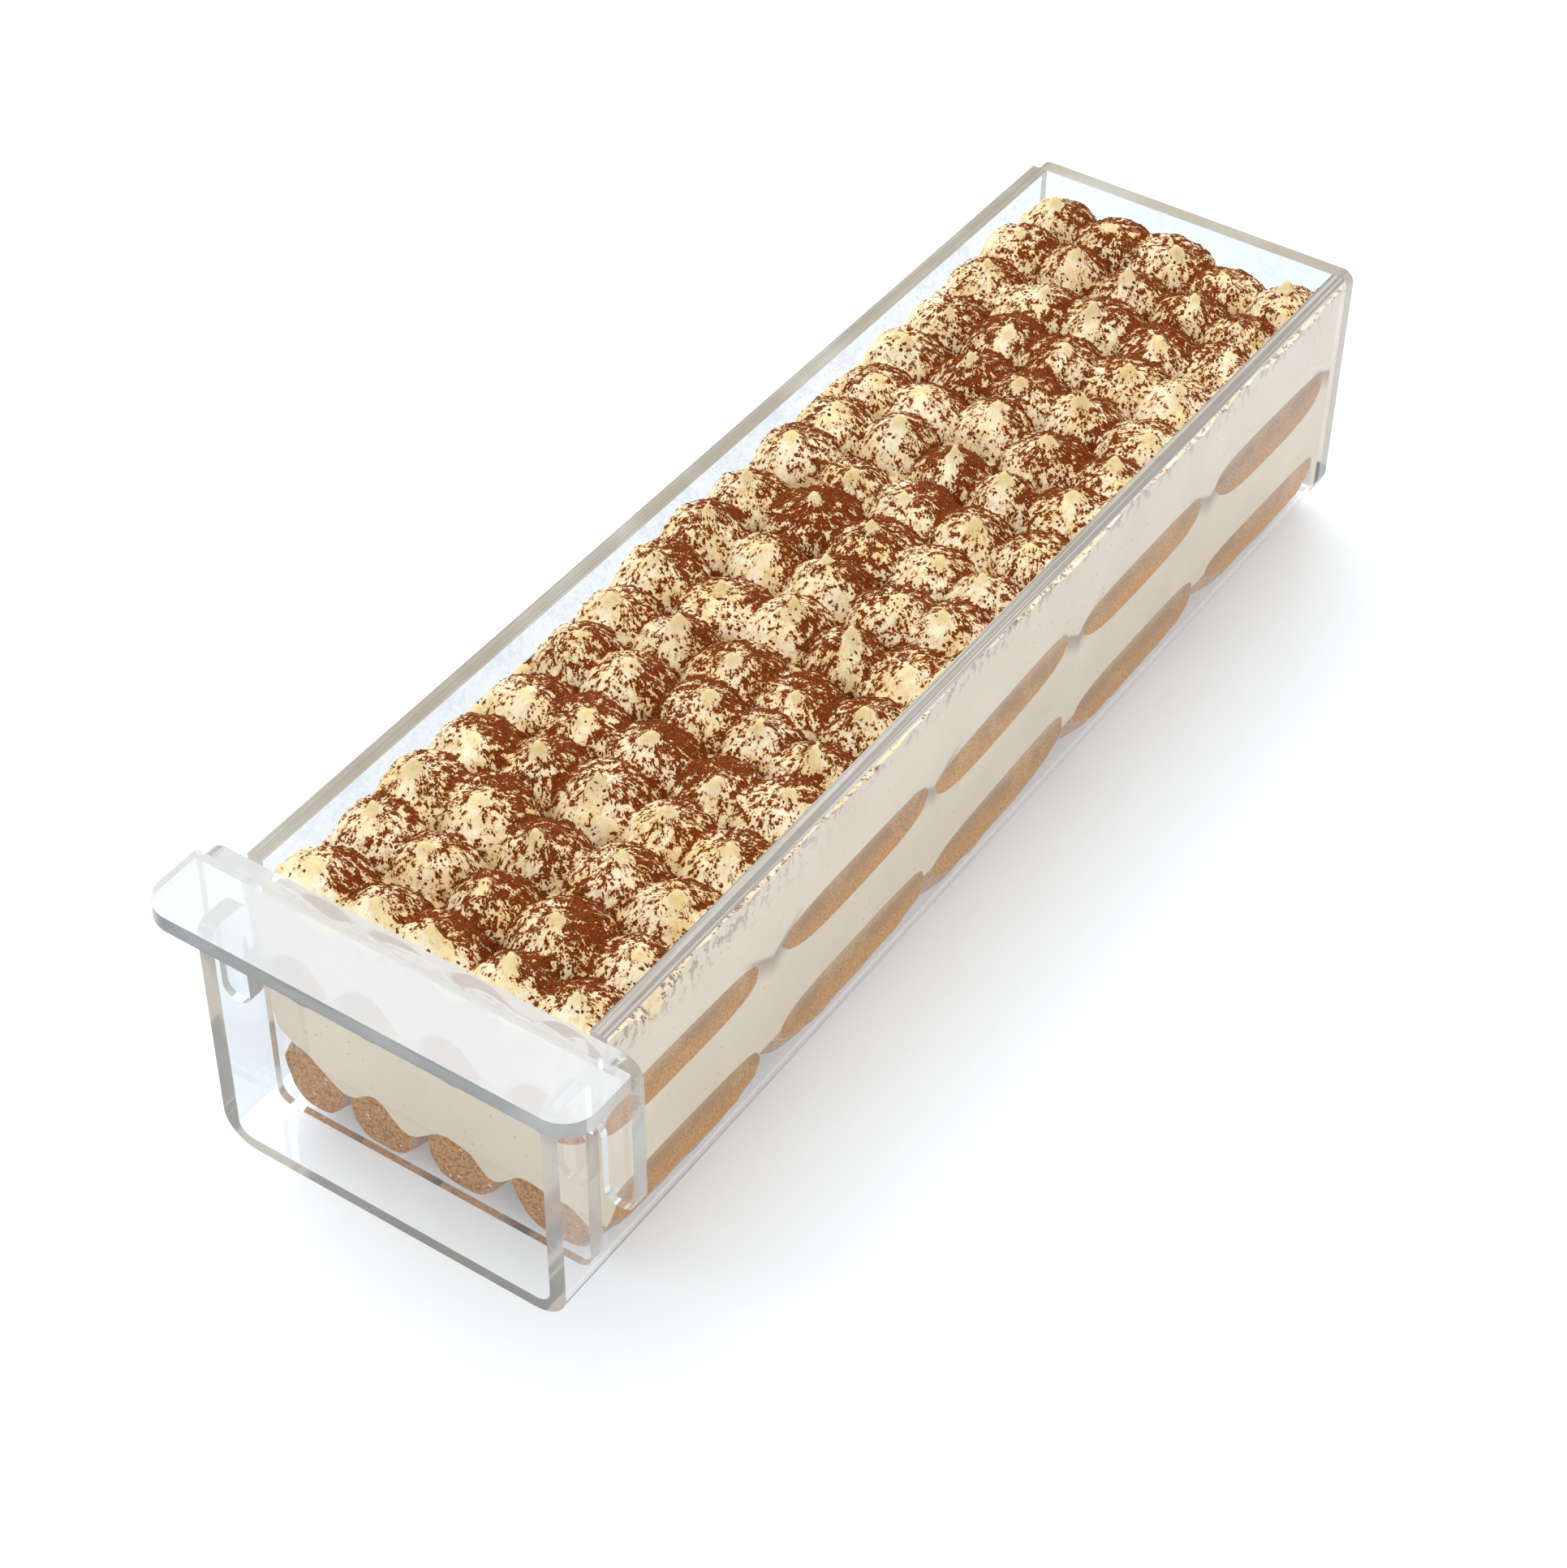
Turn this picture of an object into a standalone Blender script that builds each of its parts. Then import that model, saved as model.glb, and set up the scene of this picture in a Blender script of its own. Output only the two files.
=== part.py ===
"""Tiramisu in a long clear acrylic tray, in metres, +Z up.

The tray is one bent sheet, open at the front, with a plate glued across its back. A gate with hooked ears
hangs over its side walls in two notches and closes the front, and carries a plate to hold it by. Behind the
gate lie two layers of ladyfingers, each under a layer of cream. The upper cream is piped in rows of dollops.

The origin is under the middle of the whole, on the surface that the tray stands on. The gate faces -Y.
"""

import math
import random

import bmesh
import bpy

# Tray: one bent acrylic sheet, and the plate glued to its back
TRAY_WIDTH = 0.110
TRAY_HEIGHT = 0.085
WALL = 0.005
FLOOR = 0.004
BEND_OUTSIDE = 0.010
BEND_INSIDE = 0.0045
RIM_ROUND = 0.0006
CUT_ROUND = 0.001
TRAY_FRONT = -0.197
TRAY_BACK = 0.205
GAP = 0.0003

# Front of the side walls: a low tongue, then the notch that takes the gate
TONGUE_TOP = 0.075
TONGUE_ROUND = 0.0035
NOTCH_FRONT = TRAY_FRONT + 0.0135
NOTCH_BACK = TRAY_FRONT + 0.0205
NOTCH_BOTTOM = 0.057

# Gate: it stands on the floor, with a slot over each side wall and an ear outside it
GATE_FRONT = TRAY_FRONT + 0.0140
GATE_THICKNESS = 0.0052
GATE_BOTTOM = FLOOR + 0.0005
GATE_HALF_INSIDE = 0.0489
SLOT_OUTER = 0.0572
SLOT_TOP = 0.061
EAR_HALF = 0.0664
EAR_BOTTOM = 0.0355
EAR_ROUND = 0.006
SMALL_ROUND = 0.004

# Plate to hold the gate by, flush with the gate's top
HANDLE_FRONT = -0.205
HANDLE_BACK = GATE_FRONT - GAP
HANDLE_THICKNESS = 0.005
HANDLE_ROUND = 0.0095

# Food: the room between gate and back plate
FOOD_HALF = TRAY_WIDTH / 2 - WALL - GAP
FOOD_FRONT = GATE_FRONT + GATE_THICKNESS + GAP
FOOD_BACK = TRAY_BACK - WALL - GAP

# Ladyfingers: four side by side, five end to end, in two layers
FINGER_COLUMNS = 4
FINGER_ROWS = 5
FINGER_PITCH = 0.076
FINGER_END_GAP = 0.0010
FINGER_HALF_WIDTH = 0.0119
FINGER_LEFT = -0.0479
FINGER_RIGHT = 0.0495
LAST_FINGER_END = 0.194
WAISTS = {"low": 0.0183, "high": 0.0500}
FINGER_RISE = 0.0080
FINGER_DROP = 0.0135
FINGER_LEVEL_STRAY = 0.0004
FINGER_END_STRAY = 0.0008
FINGER_SIDES = 10
FINGER_RINGS = 7
BOXINESS = 0.45
UNDERSIDE = 0.80
END_LENGTH = 0.70
END_TAPER = 0.50

# Cream: how far it runs down and up between the fingers, and its clearance to them
CREAM_CLEAR = 0.0005
LINE_CLEAR = 0.001
ROOM_SHARES = (-0.6, -0.25, 0, 0.25, 0.6)
LOW_VALLEY = 0.0165
MIDDLE_RIDGE = 0.0450
HIGH_VALLEY = 0.0515

# Dollops: domes that run into each other, each with the small nub that the nozzle left
DOLLOP_COLUMNS = 5
DOLLOP_ROWS = 18
DOLLOP_BASE = 0.0705
DOLLOP_RADIUS = 0.0123
DOLLOP_HEIGHT = 0.0118
DOLLOP_CROWN = 2.2
DOLLOP_FULLNESS = 0.60
NUB_HEIGHT = 0.0042
NUB_TOP = 0.0022
NUB_FOOT = 0.0044
STRAY_ACROSS = 0.0010
STRAY_ALONG = 0.0018

# Where the cream's surfaces have their lines, as shares of one finger or one dollop
ACROSS_FINGER = (-0.50, -0.44, -0.20, 0.20, 0.44)
ALONG_FINGER = (-0.50, -0.46, -0.30, 0.00, 0.30, 0.46)
OVER_DOLLOP = (-0.50, -0.24, -0.08, 0.08, 0.24)

# What is uneven is drawn from these
FINGER_DRAWS = random.Random(7)
DOLLOP_DRAWS = random.Random(21)


def clear_scene():
    for old in list(bpy.data.objects):
        bpy.data.objects.remove(old, do_unlink=True)


def new_collection(name):
    collection = bpy.data.collections.new(name)
    bpy.context.scene.collection.children.link(collection)
    return collection


def material(name, colour, roughness, alpha=1.0):
    """A Principled material with the colour and gloss of one of the tray's or the food's stuffs."""
    made = bpy.data.materials.new(name)
    made.use_nodes = True
    shader = made.node_tree.nodes["Principled BSDF"]
    shader.inputs["Base Color"].default_value = (*colour, 1.0)
    shader.inputs["Roughness"].default_value = roughness
    shader.inputs["Metallic"].default_value = 0.0
    shader.inputs["Alpha"].default_value = alpha
    return made


def add_object(name, mesh, collection, finish):
    made = bpy.data.objects.new(name, mesh)
    mesh.materials.clear()
    mesh.materials.append(finish)
    collection.objects.link(made)
    return made


# Flat sheet pieces

def rounded_outline(corners, steps=4):
    """Points of a closed outline. Each corner is (x, y, radius), and a radius of 0 keeps it sharp."""
    points = []
    for index, (x, y, radius) in enumerate(corners):
        before = corners[index - 1]
        after = corners[(index + 1) % len(corners)]
        if radius == 0:
            points.append((x, y))
            continue
        into = math.atan2(y - before[1], x - before[0])
        out = math.atan2(after[1] - y, after[0] - x)
        turn = (out - into + math.pi) % (2 * math.pi) - math.pi
        reach = radius * math.tan(abs(turn) / 2)
        side = math.copysign(1, turn)
        centre_x = x - reach * math.cos(into) - side * radius * math.sin(into)
        centre_y = y - reach * math.sin(into) + side * radius * math.cos(into)
        for step in range(steps + 1):
            angle = into - side * math.pi / 2 + turn * step / steps
            points.append((centre_x + radius * math.cos(angle), centre_y + radius * math.sin(angle)))
    return points


def sheet_mesh(name, outline, start, end, plane):
    """A closed mesh of a flat outline given a thickness from start to end across the plane XY, XZ or YZ."""
    curve = bpy.data.curves.new(name, "CURVE")
    curve.dimensions = "2D"
    curve.fill_mode = "BOTH"
    curve.extrude = (end - start) / 2
    spline = curve.splines.new("POLY")
    spline.points.add(len(outline) - 1)
    for point, (x, y) in zip(spline.points, outline):
        point.co = (x, y, 0, 1)
    spline.use_cyclic_u = True
    guide = bpy.data.objects.new(name, curve)
    bpy.context.scene.collection.objects.link(guide)
    depsgraph = bpy.context.evaluated_depsgraph_get()
    mesh = bpy.data.meshes.new_from_object(guide.evaluated_get(depsgraph))
    bpy.data.objects.remove(guide)
    bpy.data.curves.remove(curve)
    middle = (start + end) / 2
    for vertex in mesh.vertices:
        along, up, depth = vertex.co
        depth += middle
        vertex.co = {"XY": (along, up, depth), "XZ": (along, depth, up), "YZ": (depth, along, up)}[plane]
    tidy = bmesh.new()
    tidy.from_mesh(mesh)
    bmesh.ops.remove_doubles(tidy, verts=tidy.verts, dist=1e-6)
    bmesh.ops.recalc_face_normals(tidy, faces=tidy.faces)
    tidy.to_mesh(mesh)
    tidy.free()
    return mesh


def make_tray(parts, cutters, acrylic):
    """The bent sheet: a U that runs from the open front to the back plate, cut low at the front."""
    half = TRAY_WIDTH / 2
    inside = half - WALL
    section = rounded_outline([
        (-half, TRAY_HEIGHT, RIM_ROUND),
        (-half, 0, BEND_OUTSIDE),
        (half, 0, BEND_OUTSIDE),
        (half, TRAY_HEIGHT, RIM_ROUND),
        (inside, TRAY_HEIGHT, RIM_ROUND),
        (inside, FLOOR, BEND_INSIDE),
        (-inside, FLOOR, BEND_INSIDE),
        (-inside, TRAY_HEIGHT, RIM_ROUND),
    ])
    mesh = sheet_mesh("tray_channel", section, TRAY_FRONT, TRAY_BACK - WALL - GAP, "XZ")
    tray = add_object("tray_channel", mesh, parts, acrylic)
    clear_of_tray = 0.002
    above_rim = TRAY_HEIGHT + clear_of_tray
    tongue_start = TONGUE_TOP - TONGUE_ROUND
    tongue_corner = []
    for degrees in (30, 60, 90):
        ahead = TONGUE_ROUND * (1 - math.cos(math.radians(degrees)))
        rise = TONGUE_ROUND * math.sin(math.radians(degrees))
        tongue_corner.append((TRAY_FRONT + ahead, tongue_start + rise, 0))
    waste = rounded_outline([
        (TRAY_FRONT - clear_of_tray, above_rim, 0),
        (TRAY_FRONT - clear_of_tray, tongue_start, 0),
        *tongue_corner,
        (NOTCH_FRONT, TONGUE_TOP, TONGUE_ROUND),
        (NOTCH_FRONT, NOTCH_BOTTOM, CUT_ROUND),
        (NOTCH_BACK, NOTCH_BOTTOM, CUT_ROUND),
        (NOTCH_BACK, above_rim, 0),
    ])
    cutter_mesh = sheet_mesh("front_cut", waste, -half - clear_of_tray, half + clear_of_tray, "YZ")
    cutter = add_object("front_cut", cutter_mesh, cutters, acrylic)
    cutter.hide_render = True
    cutter.display_type = "WIRE"
    cut = tray.modifiers.new("front cut", "BOOLEAN")
    cut.operation = "DIFFERENCE"
    cut.solver = "EXACT"
    cut.object = cutter
    return tray


def make_back_plate(parts, acrylic):
    half = TRAY_WIDTH / 2
    outline = rounded_outline([
        (-half, TRAY_HEIGHT, RIM_ROUND),
        (-half, 0, BEND_OUTSIDE),
        (half, 0, BEND_OUTSIDE),
        (half, TRAY_HEIGHT, RIM_ROUND),
    ])
    mesh = sheet_mesh("back_plate", outline, TRAY_BACK - WALL, TRAY_BACK, "XZ")
    return add_object("back_plate", mesh, parts, acrylic)


def make_gate(parts, acrylic):
    """The gate: a plate between the walls, bridged over each wall to an ear that hangs outside it."""
    right = [
        (GATE_HALF_INSIDE, GATE_BOTTOM, BEND_INSIDE),
        (GATE_HALF_INSIDE, SLOT_TOP, CUT_ROUND),
        (SLOT_OUTER, SLOT_TOP, SMALL_ROUND),
        (SLOT_OUTER, EAR_BOTTOM, SMALL_ROUND),
        (EAR_HALF, EAR_BOTTOM, SMALL_ROUND),
        (EAR_HALF, TRAY_HEIGHT, EAR_ROUND),
    ]
    left = [(-x, z, radius) for x, z, radius in reversed(right)]
    mesh = sheet_mesh("gate", rounded_outline(right + left), GATE_FRONT, GATE_FRONT + GATE_THICKNESS, "XZ")
    return add_object("gate", mesh, parts, acrylic)


def make_handle_plate(parts, acrylic):
    outline = rounded_outline([
        (-EAR_HALF, HANDLE_BACK, CUT_ROUND),
        (-EAR_HALF, HANDLE_FRONT, HANDLE_ROUND),
        (EAR_HALF, HANDLE_FRONT, HANDLE_ROUND),
        (EAR_HALF, HANDLE_BACK, CUT_ROUND),
    ], steps=6)
    mesh = sheet_mesh("handle_plate", outline, TRAY_HEIGHT - HANDLE_THICKNESS, TRAY_HEIGHT, "XY")
    return add_object("handle_plate", mesh, parts, acrylic)


# Ladyfingers

def lay_fingers():
    """The place and size of every ladyfinger, by layer, row from the gate and column from the left."""
    fingers = []
    span = FINGER_RIGHT - FINGER_LEFT - 2 * FINGER_HALF_WIDTH
    for layer, waist in WAISTS.items():
        for row in range(FINGER_ROWS):
            back = LAST_FINGER_END - FINGER_PITCH * (FINGER_ROWS - 1 - row)
            front = max(back - FINGER_PITCH + FINGER_END_GAP, FOOD_FRONT + FINGER_END_GAP)
            for column in range(FINGER_COLUMNS):
                near = front + FINGER_DRAWS.uniform(0, FINGER_END_STRAY)
                far = back - FINGER_DRAWS.uniform(0, FINGER_END_STRAY)
                fingers.append({
                    "name": f"ladyfinger_{layer}_{row + 1}_{column + 1}",
                    "layer": layer,
                    "x": FINGER_LEFT + FINGER_HALF_WIDTH + span * column / (FINGER_COLUMNS - 1),
                    "y": (near + far) / 2,
                    "z": waist + FINGER_DRAWS.uniform(-FINGER_LEVEL_STRAY, FINGER_LEVEL_STRAY),
                    "half_length": (far - near) / 2,
                    "rise": FINGER_RISE * FINGER_DRAWS.uniform(0.92, 1.06),
                    "drop": FINGER_DROP * FINGER_DRAWS.uniform(0.93, 0.98),
                })
    return fingers


def finger_surface(finger, x, y, upper):
    """Height of a ladyfinger's upper or under side at x, y, or None beside it."""
    along = abs(y - finger["y"]) / finger["half_length"]
    if along >= 1:
        return None
    taper = (1 - along ** (2 / END_LENGTH)) ** (END_TAPER / 2)
    across = abs(x - finger["x"]) / (FINGER_HALF_WIDTH * taper)
    if across >= 1:
        return None
    flank = 1 - across ** (2 / BOXINESS)
    if upper:
        return finger["z"] + finger["rise"] * taper * flank ** (BOXINESS / 2)
    return finger["z"] - finger["drop"] * taper * flank ** (UNDERSIDE / 2)


def power(value, exponent):
    return math.copysign(abs(value) ** exponent, value)


def make_finger(finger, parts, biscuit):
    """A round-ended biscuit, squarer on top than below, pressed from a sphere."""
    shape = bmesh.new()
    bmesh.ops.create_uvsphere(shape, u_segments=FINGER_SIDES, v_segments=FINGER_RINGS, radius=1)
    for vertex in shape.verts:
        side, up, end = vertex.co
        ring = math.hypot(side, up)
        taper = ring ** END_TAPER
        cosine, sine = (side / ring, up / ring) if ring > 1e-6 else (0, 0)
        height, roundness = (finger["rise"], BOXINESS) if sine > 0 else (finger["drop"], UNDERSIDE)
        vertex.co = (
            finger["x"] + FINGER_HALF_WIDTH * taper * power(cosine, BOXINESS),
            finger["y"] - finger["half_length"] * power(end, END_LENGTH),
            finger["z"] + height * taper * power(sine, roundness),
        )
    mesh = bpy.data.meshes.new(finger["name"])
    shape.to_mesh(mesh)
    shape.free()
    mesh.shade_smooth()
    mesh.set_sharp_from_angle(angle=math.radians(50))
    return add_object(finger["name"], mesh, parts, biscuit)


# Cream

def finger_lines(start, end, first, pitch, count, shares):
    """Where a cream surface has its lines along one axis: shares of each finger, and the two ends."""
    lines = [start]
    for index in range(count):
        for share in shares:
            place = first + pitch * (index + 0.5 + share)
            if start + LINE_CLEAR < place < end - LINE_CLEAR:
                lines.append(place)
    lines.append(end)
    return lines


def spread(lines):
    """Each line with the room that it answers for on either side."""
    rooms = []
    for index, line in enumerate(lines):
        before = line - lines[max(index - 1, 0)]
        after = lines[min(index + 1, len(lines) - 1)] - line
        rooms.append((line, [line + share * (before if share < 0 else after) for share in ROOM_SHARES]))
    return rooms


def cream_sheet(fingers, across, along, upper, limit):
    """Points of a cream surface that lies over, or under, a layer of ladyfingers and dips between them."""
    best = max if upper else min
    clear = CREAM_CLEAR if upper else -CREAM_CLEAR
    points = []
    for y, y_room in spread(along):
        line = []
        for x, x_room in spread(across):
            heights = [limit]
            for finger in fingers:
                if abs(x - finger["x"]) > 2 * FINGER_HALF_WIDTH or abs(y - finger["y"]) > FINGER_PITCH:
                    continue
                for near_y in y_room:
                    for near_x in x_room:
                        height = finger_surface(finger, near_x, near_y, upper)
                        if height is not None:
                            heights.append(height + clear)
            line.append((x, y, best(heights)))
        points.append(line)
    return points


def pipe_dollops():
    """The middle, size and nub of every dollop, by row from the gate and column from the left."""
    width = 2 * FOOD_HALF / DOLLOP_COLUMNS
    length = (FOOD_BACK - FOOD_FRONT) / DOLLOP_ROWS
    dollops = {}
    for row in range(DOLLOP_ROWS):
        for column in range(DOLLOP_COLUMNS):
            dollops[row, column] = {
                "x": -FOOD_HALF + width * (column + 0.5) + DOLLOP_DRAWS.uniform(-STRAY_ACROSS, STRAY_ACROSS),
                "y": FOOD_FRONT + length * (row + 0.5) + DOLLOP_DRAWS.uniform(-STRAY_ALONG, STRAY_ALONG),
                "radius": DOLLOP_RADIUS * DOLLOP_DRAWS.uniform(0.96, 1.06),
                "height": DOLLOP_HEIGHT * DOLLOP_DRAWS.uniform(0.90, 1.06),
                "nub": NUB_HEIGHT * DOLLOP_DRAWS.uniform(0.6, 1.15),
            }
    return dollops


def dollop_height(dollops, x, y):
    """Height of the piped surface: the highest of the domes at x, y."""
    highest = DOLLOP_BASE
    for dollop in dollops:
        distance = math.hypot(x - dollop["x"], y - dollop["y"])
        if distance >= dollop["radius"]:
            continue
        dome = (1 - (distance / dollop["radius"]) ** DOLLOP_CROWN) ** DOLLOP_FULLNESS
        slope = min(max((NUB_FOOT - distance) / (NUB_FOOT - NUB_TOP), 0), 1)
        highest = max(highest, DOLLOP_BASE + dollop["height"] * dome + dollop["nub"] * slope)
    return highest


def dollop_sheet(dollops):
    """Points of the piped surface, with its lines drawn in round each dollop's middle."""
    width = 2 * FOOD_HALF / DOLLOP_COLUMNS
    length = (FOOD_BACK - FOOD_FRONT) / DOLLOP_ROWS
    columns = [(column, share) for column in range(DOLLOP_COLUMNS) for share in OVER_DOLLOP]
    rows = [(row, share) for row in range(DOLLOP_ROWS) for share in OVER_DOLLOP]
    columns.append((DOLLOP_COLUMNS - 1, 0.5))
    rows.append((DOLLOP_ROWS - 1, 0.5))
    points = []
    for row, along in rows:
        line = []
        for column, across in columns:
            dollop = dollops[row, column]
            middle_x = -FOOD_HALF + width * (column + 0.5)
            middle_y = FOOD_FRONT + length * (row + 0.5)
            draw = (1 - abs(2 * across)) * (1 - abs(2 * along))
            x = middle_x + width * across + draw * (dollop["x"] - middle_x)
            y = middle_y + length * along + draw * (dollop["y"] - middle_y)
            near = [dollops[key] for key in dollops if abs(key[0] - row) < 2 and abs(key[1] - column) < 2]
            line.append((x, y, dollop_height(near, x, y)))
        points.append(line)
    return points


def cream_mesh(name, lower, upper):
    """A closed slab between two surfaces, each given as lines of points, with flat upright sides."""
    slab = bmesh.new()
    grids = []
    for points, turned in ((lower, True), (upper, False)):
        grid = [[slab.verts.new(point) for point in line] for line in points]
        for near, far in zip(grid, grid[1:]):
            for left in range(len(near) - 1):
                face = (near[left], near[left + 1], far[left + 1], far[left])
                slab.faces.new(reversed(face) if turned else face)
        grids.append(grid)
    under, over = grids
    slab.faces.new(under[0] + over[0][::-1])
    slab.faces.new(under[-1][::-1] + over[-1])
    slab.faces.new([line[-1] for line in under] + [line[-1] for line in reversed(over)])
    slab.faces.new([line[0] for line in reversed(under)] + [line[0] for line in over])
    bmesh.ops.triangulate(slab, faces=slab.faces, ngon_method="EAR_CLIP")
    mesh = bpy.data.meshes.new(name)
    slab.to_mesh(mesh)
    slab.free()
    return mesh


def make_creams(fingers, parts, cream):
    """The cream between the layers of ladyfingers, and the piped cream on top of both."""
    low = [finger for finger in fingers if finger["layer"] == "low"]
    high = [finger for finger in fingers if finger["layer"] == "high"]
    column_pitch = (FINGER_RIGHT - FINGER_LEFT) / FINGER_COLUMNS
    first_end = LAST_FINGER_END - FINGER_PITCH * FINGER_ROWS
    across = finger_lines(-FOOD_HALF, FOOD_HALF, FINGER_LEFT, column_pitch, FINGER_COLUMNS, ACROSS_FINGER)
    along = finger_lines(FOOD_FRONT, FOOD_BACK, first_end, FINGER_PITCH, FINGER_ROWS, ALONG_FINGER)
    middle_under = cream_sheet(low, across, along, True, LOW_VALLEY)
    middle_over = cream_sheet(high, across, along, False, MIDDLE_RIDGE)
    top_under = cream_sheet(high, across, along, True, HIGH_VALLEY)
    top_over = dollop_sheet(pipe_dollops())
    add_object("cream_middle", cream_mesh("cream_middle", middle_under, middle_over), parts, cream)
    add_object("cream_top", cream_mesh("cream_top", top_under, top_over), parts, cream)


def main():
    clear_scene()
    parts = new_collection("tiramisu_tray")
    cutters = new_collection("cutters")
    acrylic = material("clear acrylic", (0.92, 0.94, 0.95), 0.08, alpha=0.3)
    biscuit = material("soaked ladyfinger", (0.58, 0.38, 0.20), 0.75)
    cream = material("mascarpone cream", (0.88, 0.80, 0.60), 0.45)
    make_tray(parts, cutters, acrylic)
    make_back_plate(parts, acrylic)
    make_gate(parts, acrylic)
    make_handle_plate(parts, acrylic)
    fingers = lay_fingers()
    for finger in fingers:
        make_finger(finger, parts, biscuit)
    make_creams(fingers, parts, cream)


main()
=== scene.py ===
# %% [markdown]
# # A tiramisu in a clear acrylic tray
# A long drawer of clear acrylic holds two layers of soaked ladyfingers and two of mascarpone cream. The upper
# cream is piped in rows of dollops and dusted with cocoa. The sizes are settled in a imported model, which this
# script loads as its frame and dresses piece by piece. An empty scene would mean guessing every size twice.

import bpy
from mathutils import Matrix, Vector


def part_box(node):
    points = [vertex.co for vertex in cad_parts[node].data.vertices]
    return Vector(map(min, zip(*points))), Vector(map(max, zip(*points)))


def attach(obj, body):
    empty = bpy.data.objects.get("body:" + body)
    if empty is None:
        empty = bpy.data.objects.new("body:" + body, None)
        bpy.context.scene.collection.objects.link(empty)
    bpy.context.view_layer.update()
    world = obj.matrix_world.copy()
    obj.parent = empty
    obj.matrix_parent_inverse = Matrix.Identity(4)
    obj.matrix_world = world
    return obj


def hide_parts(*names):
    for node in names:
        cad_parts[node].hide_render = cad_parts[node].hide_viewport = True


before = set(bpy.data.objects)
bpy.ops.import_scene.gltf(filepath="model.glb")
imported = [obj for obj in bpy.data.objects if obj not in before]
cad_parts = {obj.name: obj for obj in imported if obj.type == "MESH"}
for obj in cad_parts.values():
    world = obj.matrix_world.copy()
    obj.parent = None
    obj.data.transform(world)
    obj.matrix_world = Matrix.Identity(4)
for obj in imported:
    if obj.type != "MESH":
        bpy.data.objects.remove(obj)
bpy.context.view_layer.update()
print("nodes in the frame:", len(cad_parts))

# %% Modules and units
import math
import random
from types import SimpleNamespace

import bmesh
import bpy
import numpy as np
from mathutils import Euler, Vector

MM = 0.001

# %% [markdown]
# ## Camera
# The tray is seen from above and from its right front corner, with a long lens, so its far end hardly
# shrinks. The camera could track an empty, but its place and angles were solved from the tray's straight
# edges and include a slight roll, so they are written down.

# %% Camera
CAMERA_PLACE = (0.3872945, -0.6034086, 0.6692385)
CAMERA_TURN = (47.04556, -0.47513, 34.04908)
CAMERA_LENS = 78.03187

scene = bpy.context.scene


def add_object(name, data):
    made = bpy.data.objects.new(name, data)
    scene.collection.objects.link(made)
    return made


camera = add_object("camera", bpy.data.cameras.new("camera"))
camera.location = CAMERA_PLACE
camera.rotation_euler = Euler([math.radians(angle) for angle in CAMERA_TURN])
camera.data.lens = CAMERA_LENS
camera.data.sensor_fit = "HORIZONTAL"
camera.data.sensor_width = 36
camera.data.clip_start = 0.05
scene.camera = camera
print("camera", round(camera.location.length, 3), "m from the tray's middle")

# %% [markdown]
# ## Node trees written as Python
# A finish or a scattered detail is a tree of nodes, which could be wired by hand. In a script a formula is
# easier to read, so one small class wraps an output and turns arithmetic into Math nodes. One method adds
# every other kind of node, and a few short ones name the common kinds.


# %% Node trees as formulas
class Value:
    """An output of a node. Arithmetic on it adds Math nodes."""

    def __init__(self, graph, socket):
        self.graph = graph
        self.socket = socket

    def out(self, name):
        return Value(self.graph, self.socket.node.outputs[name])

    def math(self, operation, *others):
        return self.graph.math(operation, self, *others)

    def __add__(self, other):
        return self.math("ADD", other)

    def __radd__(self, other):
        return self.math("ADD", other)

    def __sub__(self, other):
        return self.math("SUBTRACT", other)

    def __rsub__(self, other):
        return self.graph.math("SUBTRACT", other, self)

    def __mul__(self, other):
        return self.math("MULTIPLY", other)

    def __rmul__(self, other):
        return self.math("MULTIPLY", other)

    def __truediv__(self, other):
        return self.math("DIVIDE", other)

    def __pow__(self, other):
        return self.math("POWER", other)

    def __gt__(self, other):
        return self.math("GREATER_THAN", other)

    def step(self, low, high):
        """0 below low, 1 above high and a smooth rise between."""
        sockets = {"Value": self, "From Min": low, "From Max": high}
        return self.graph.node("ShaderNodeMapRange", sockets, interpolation_type="SMOOTHSTEP")


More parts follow.
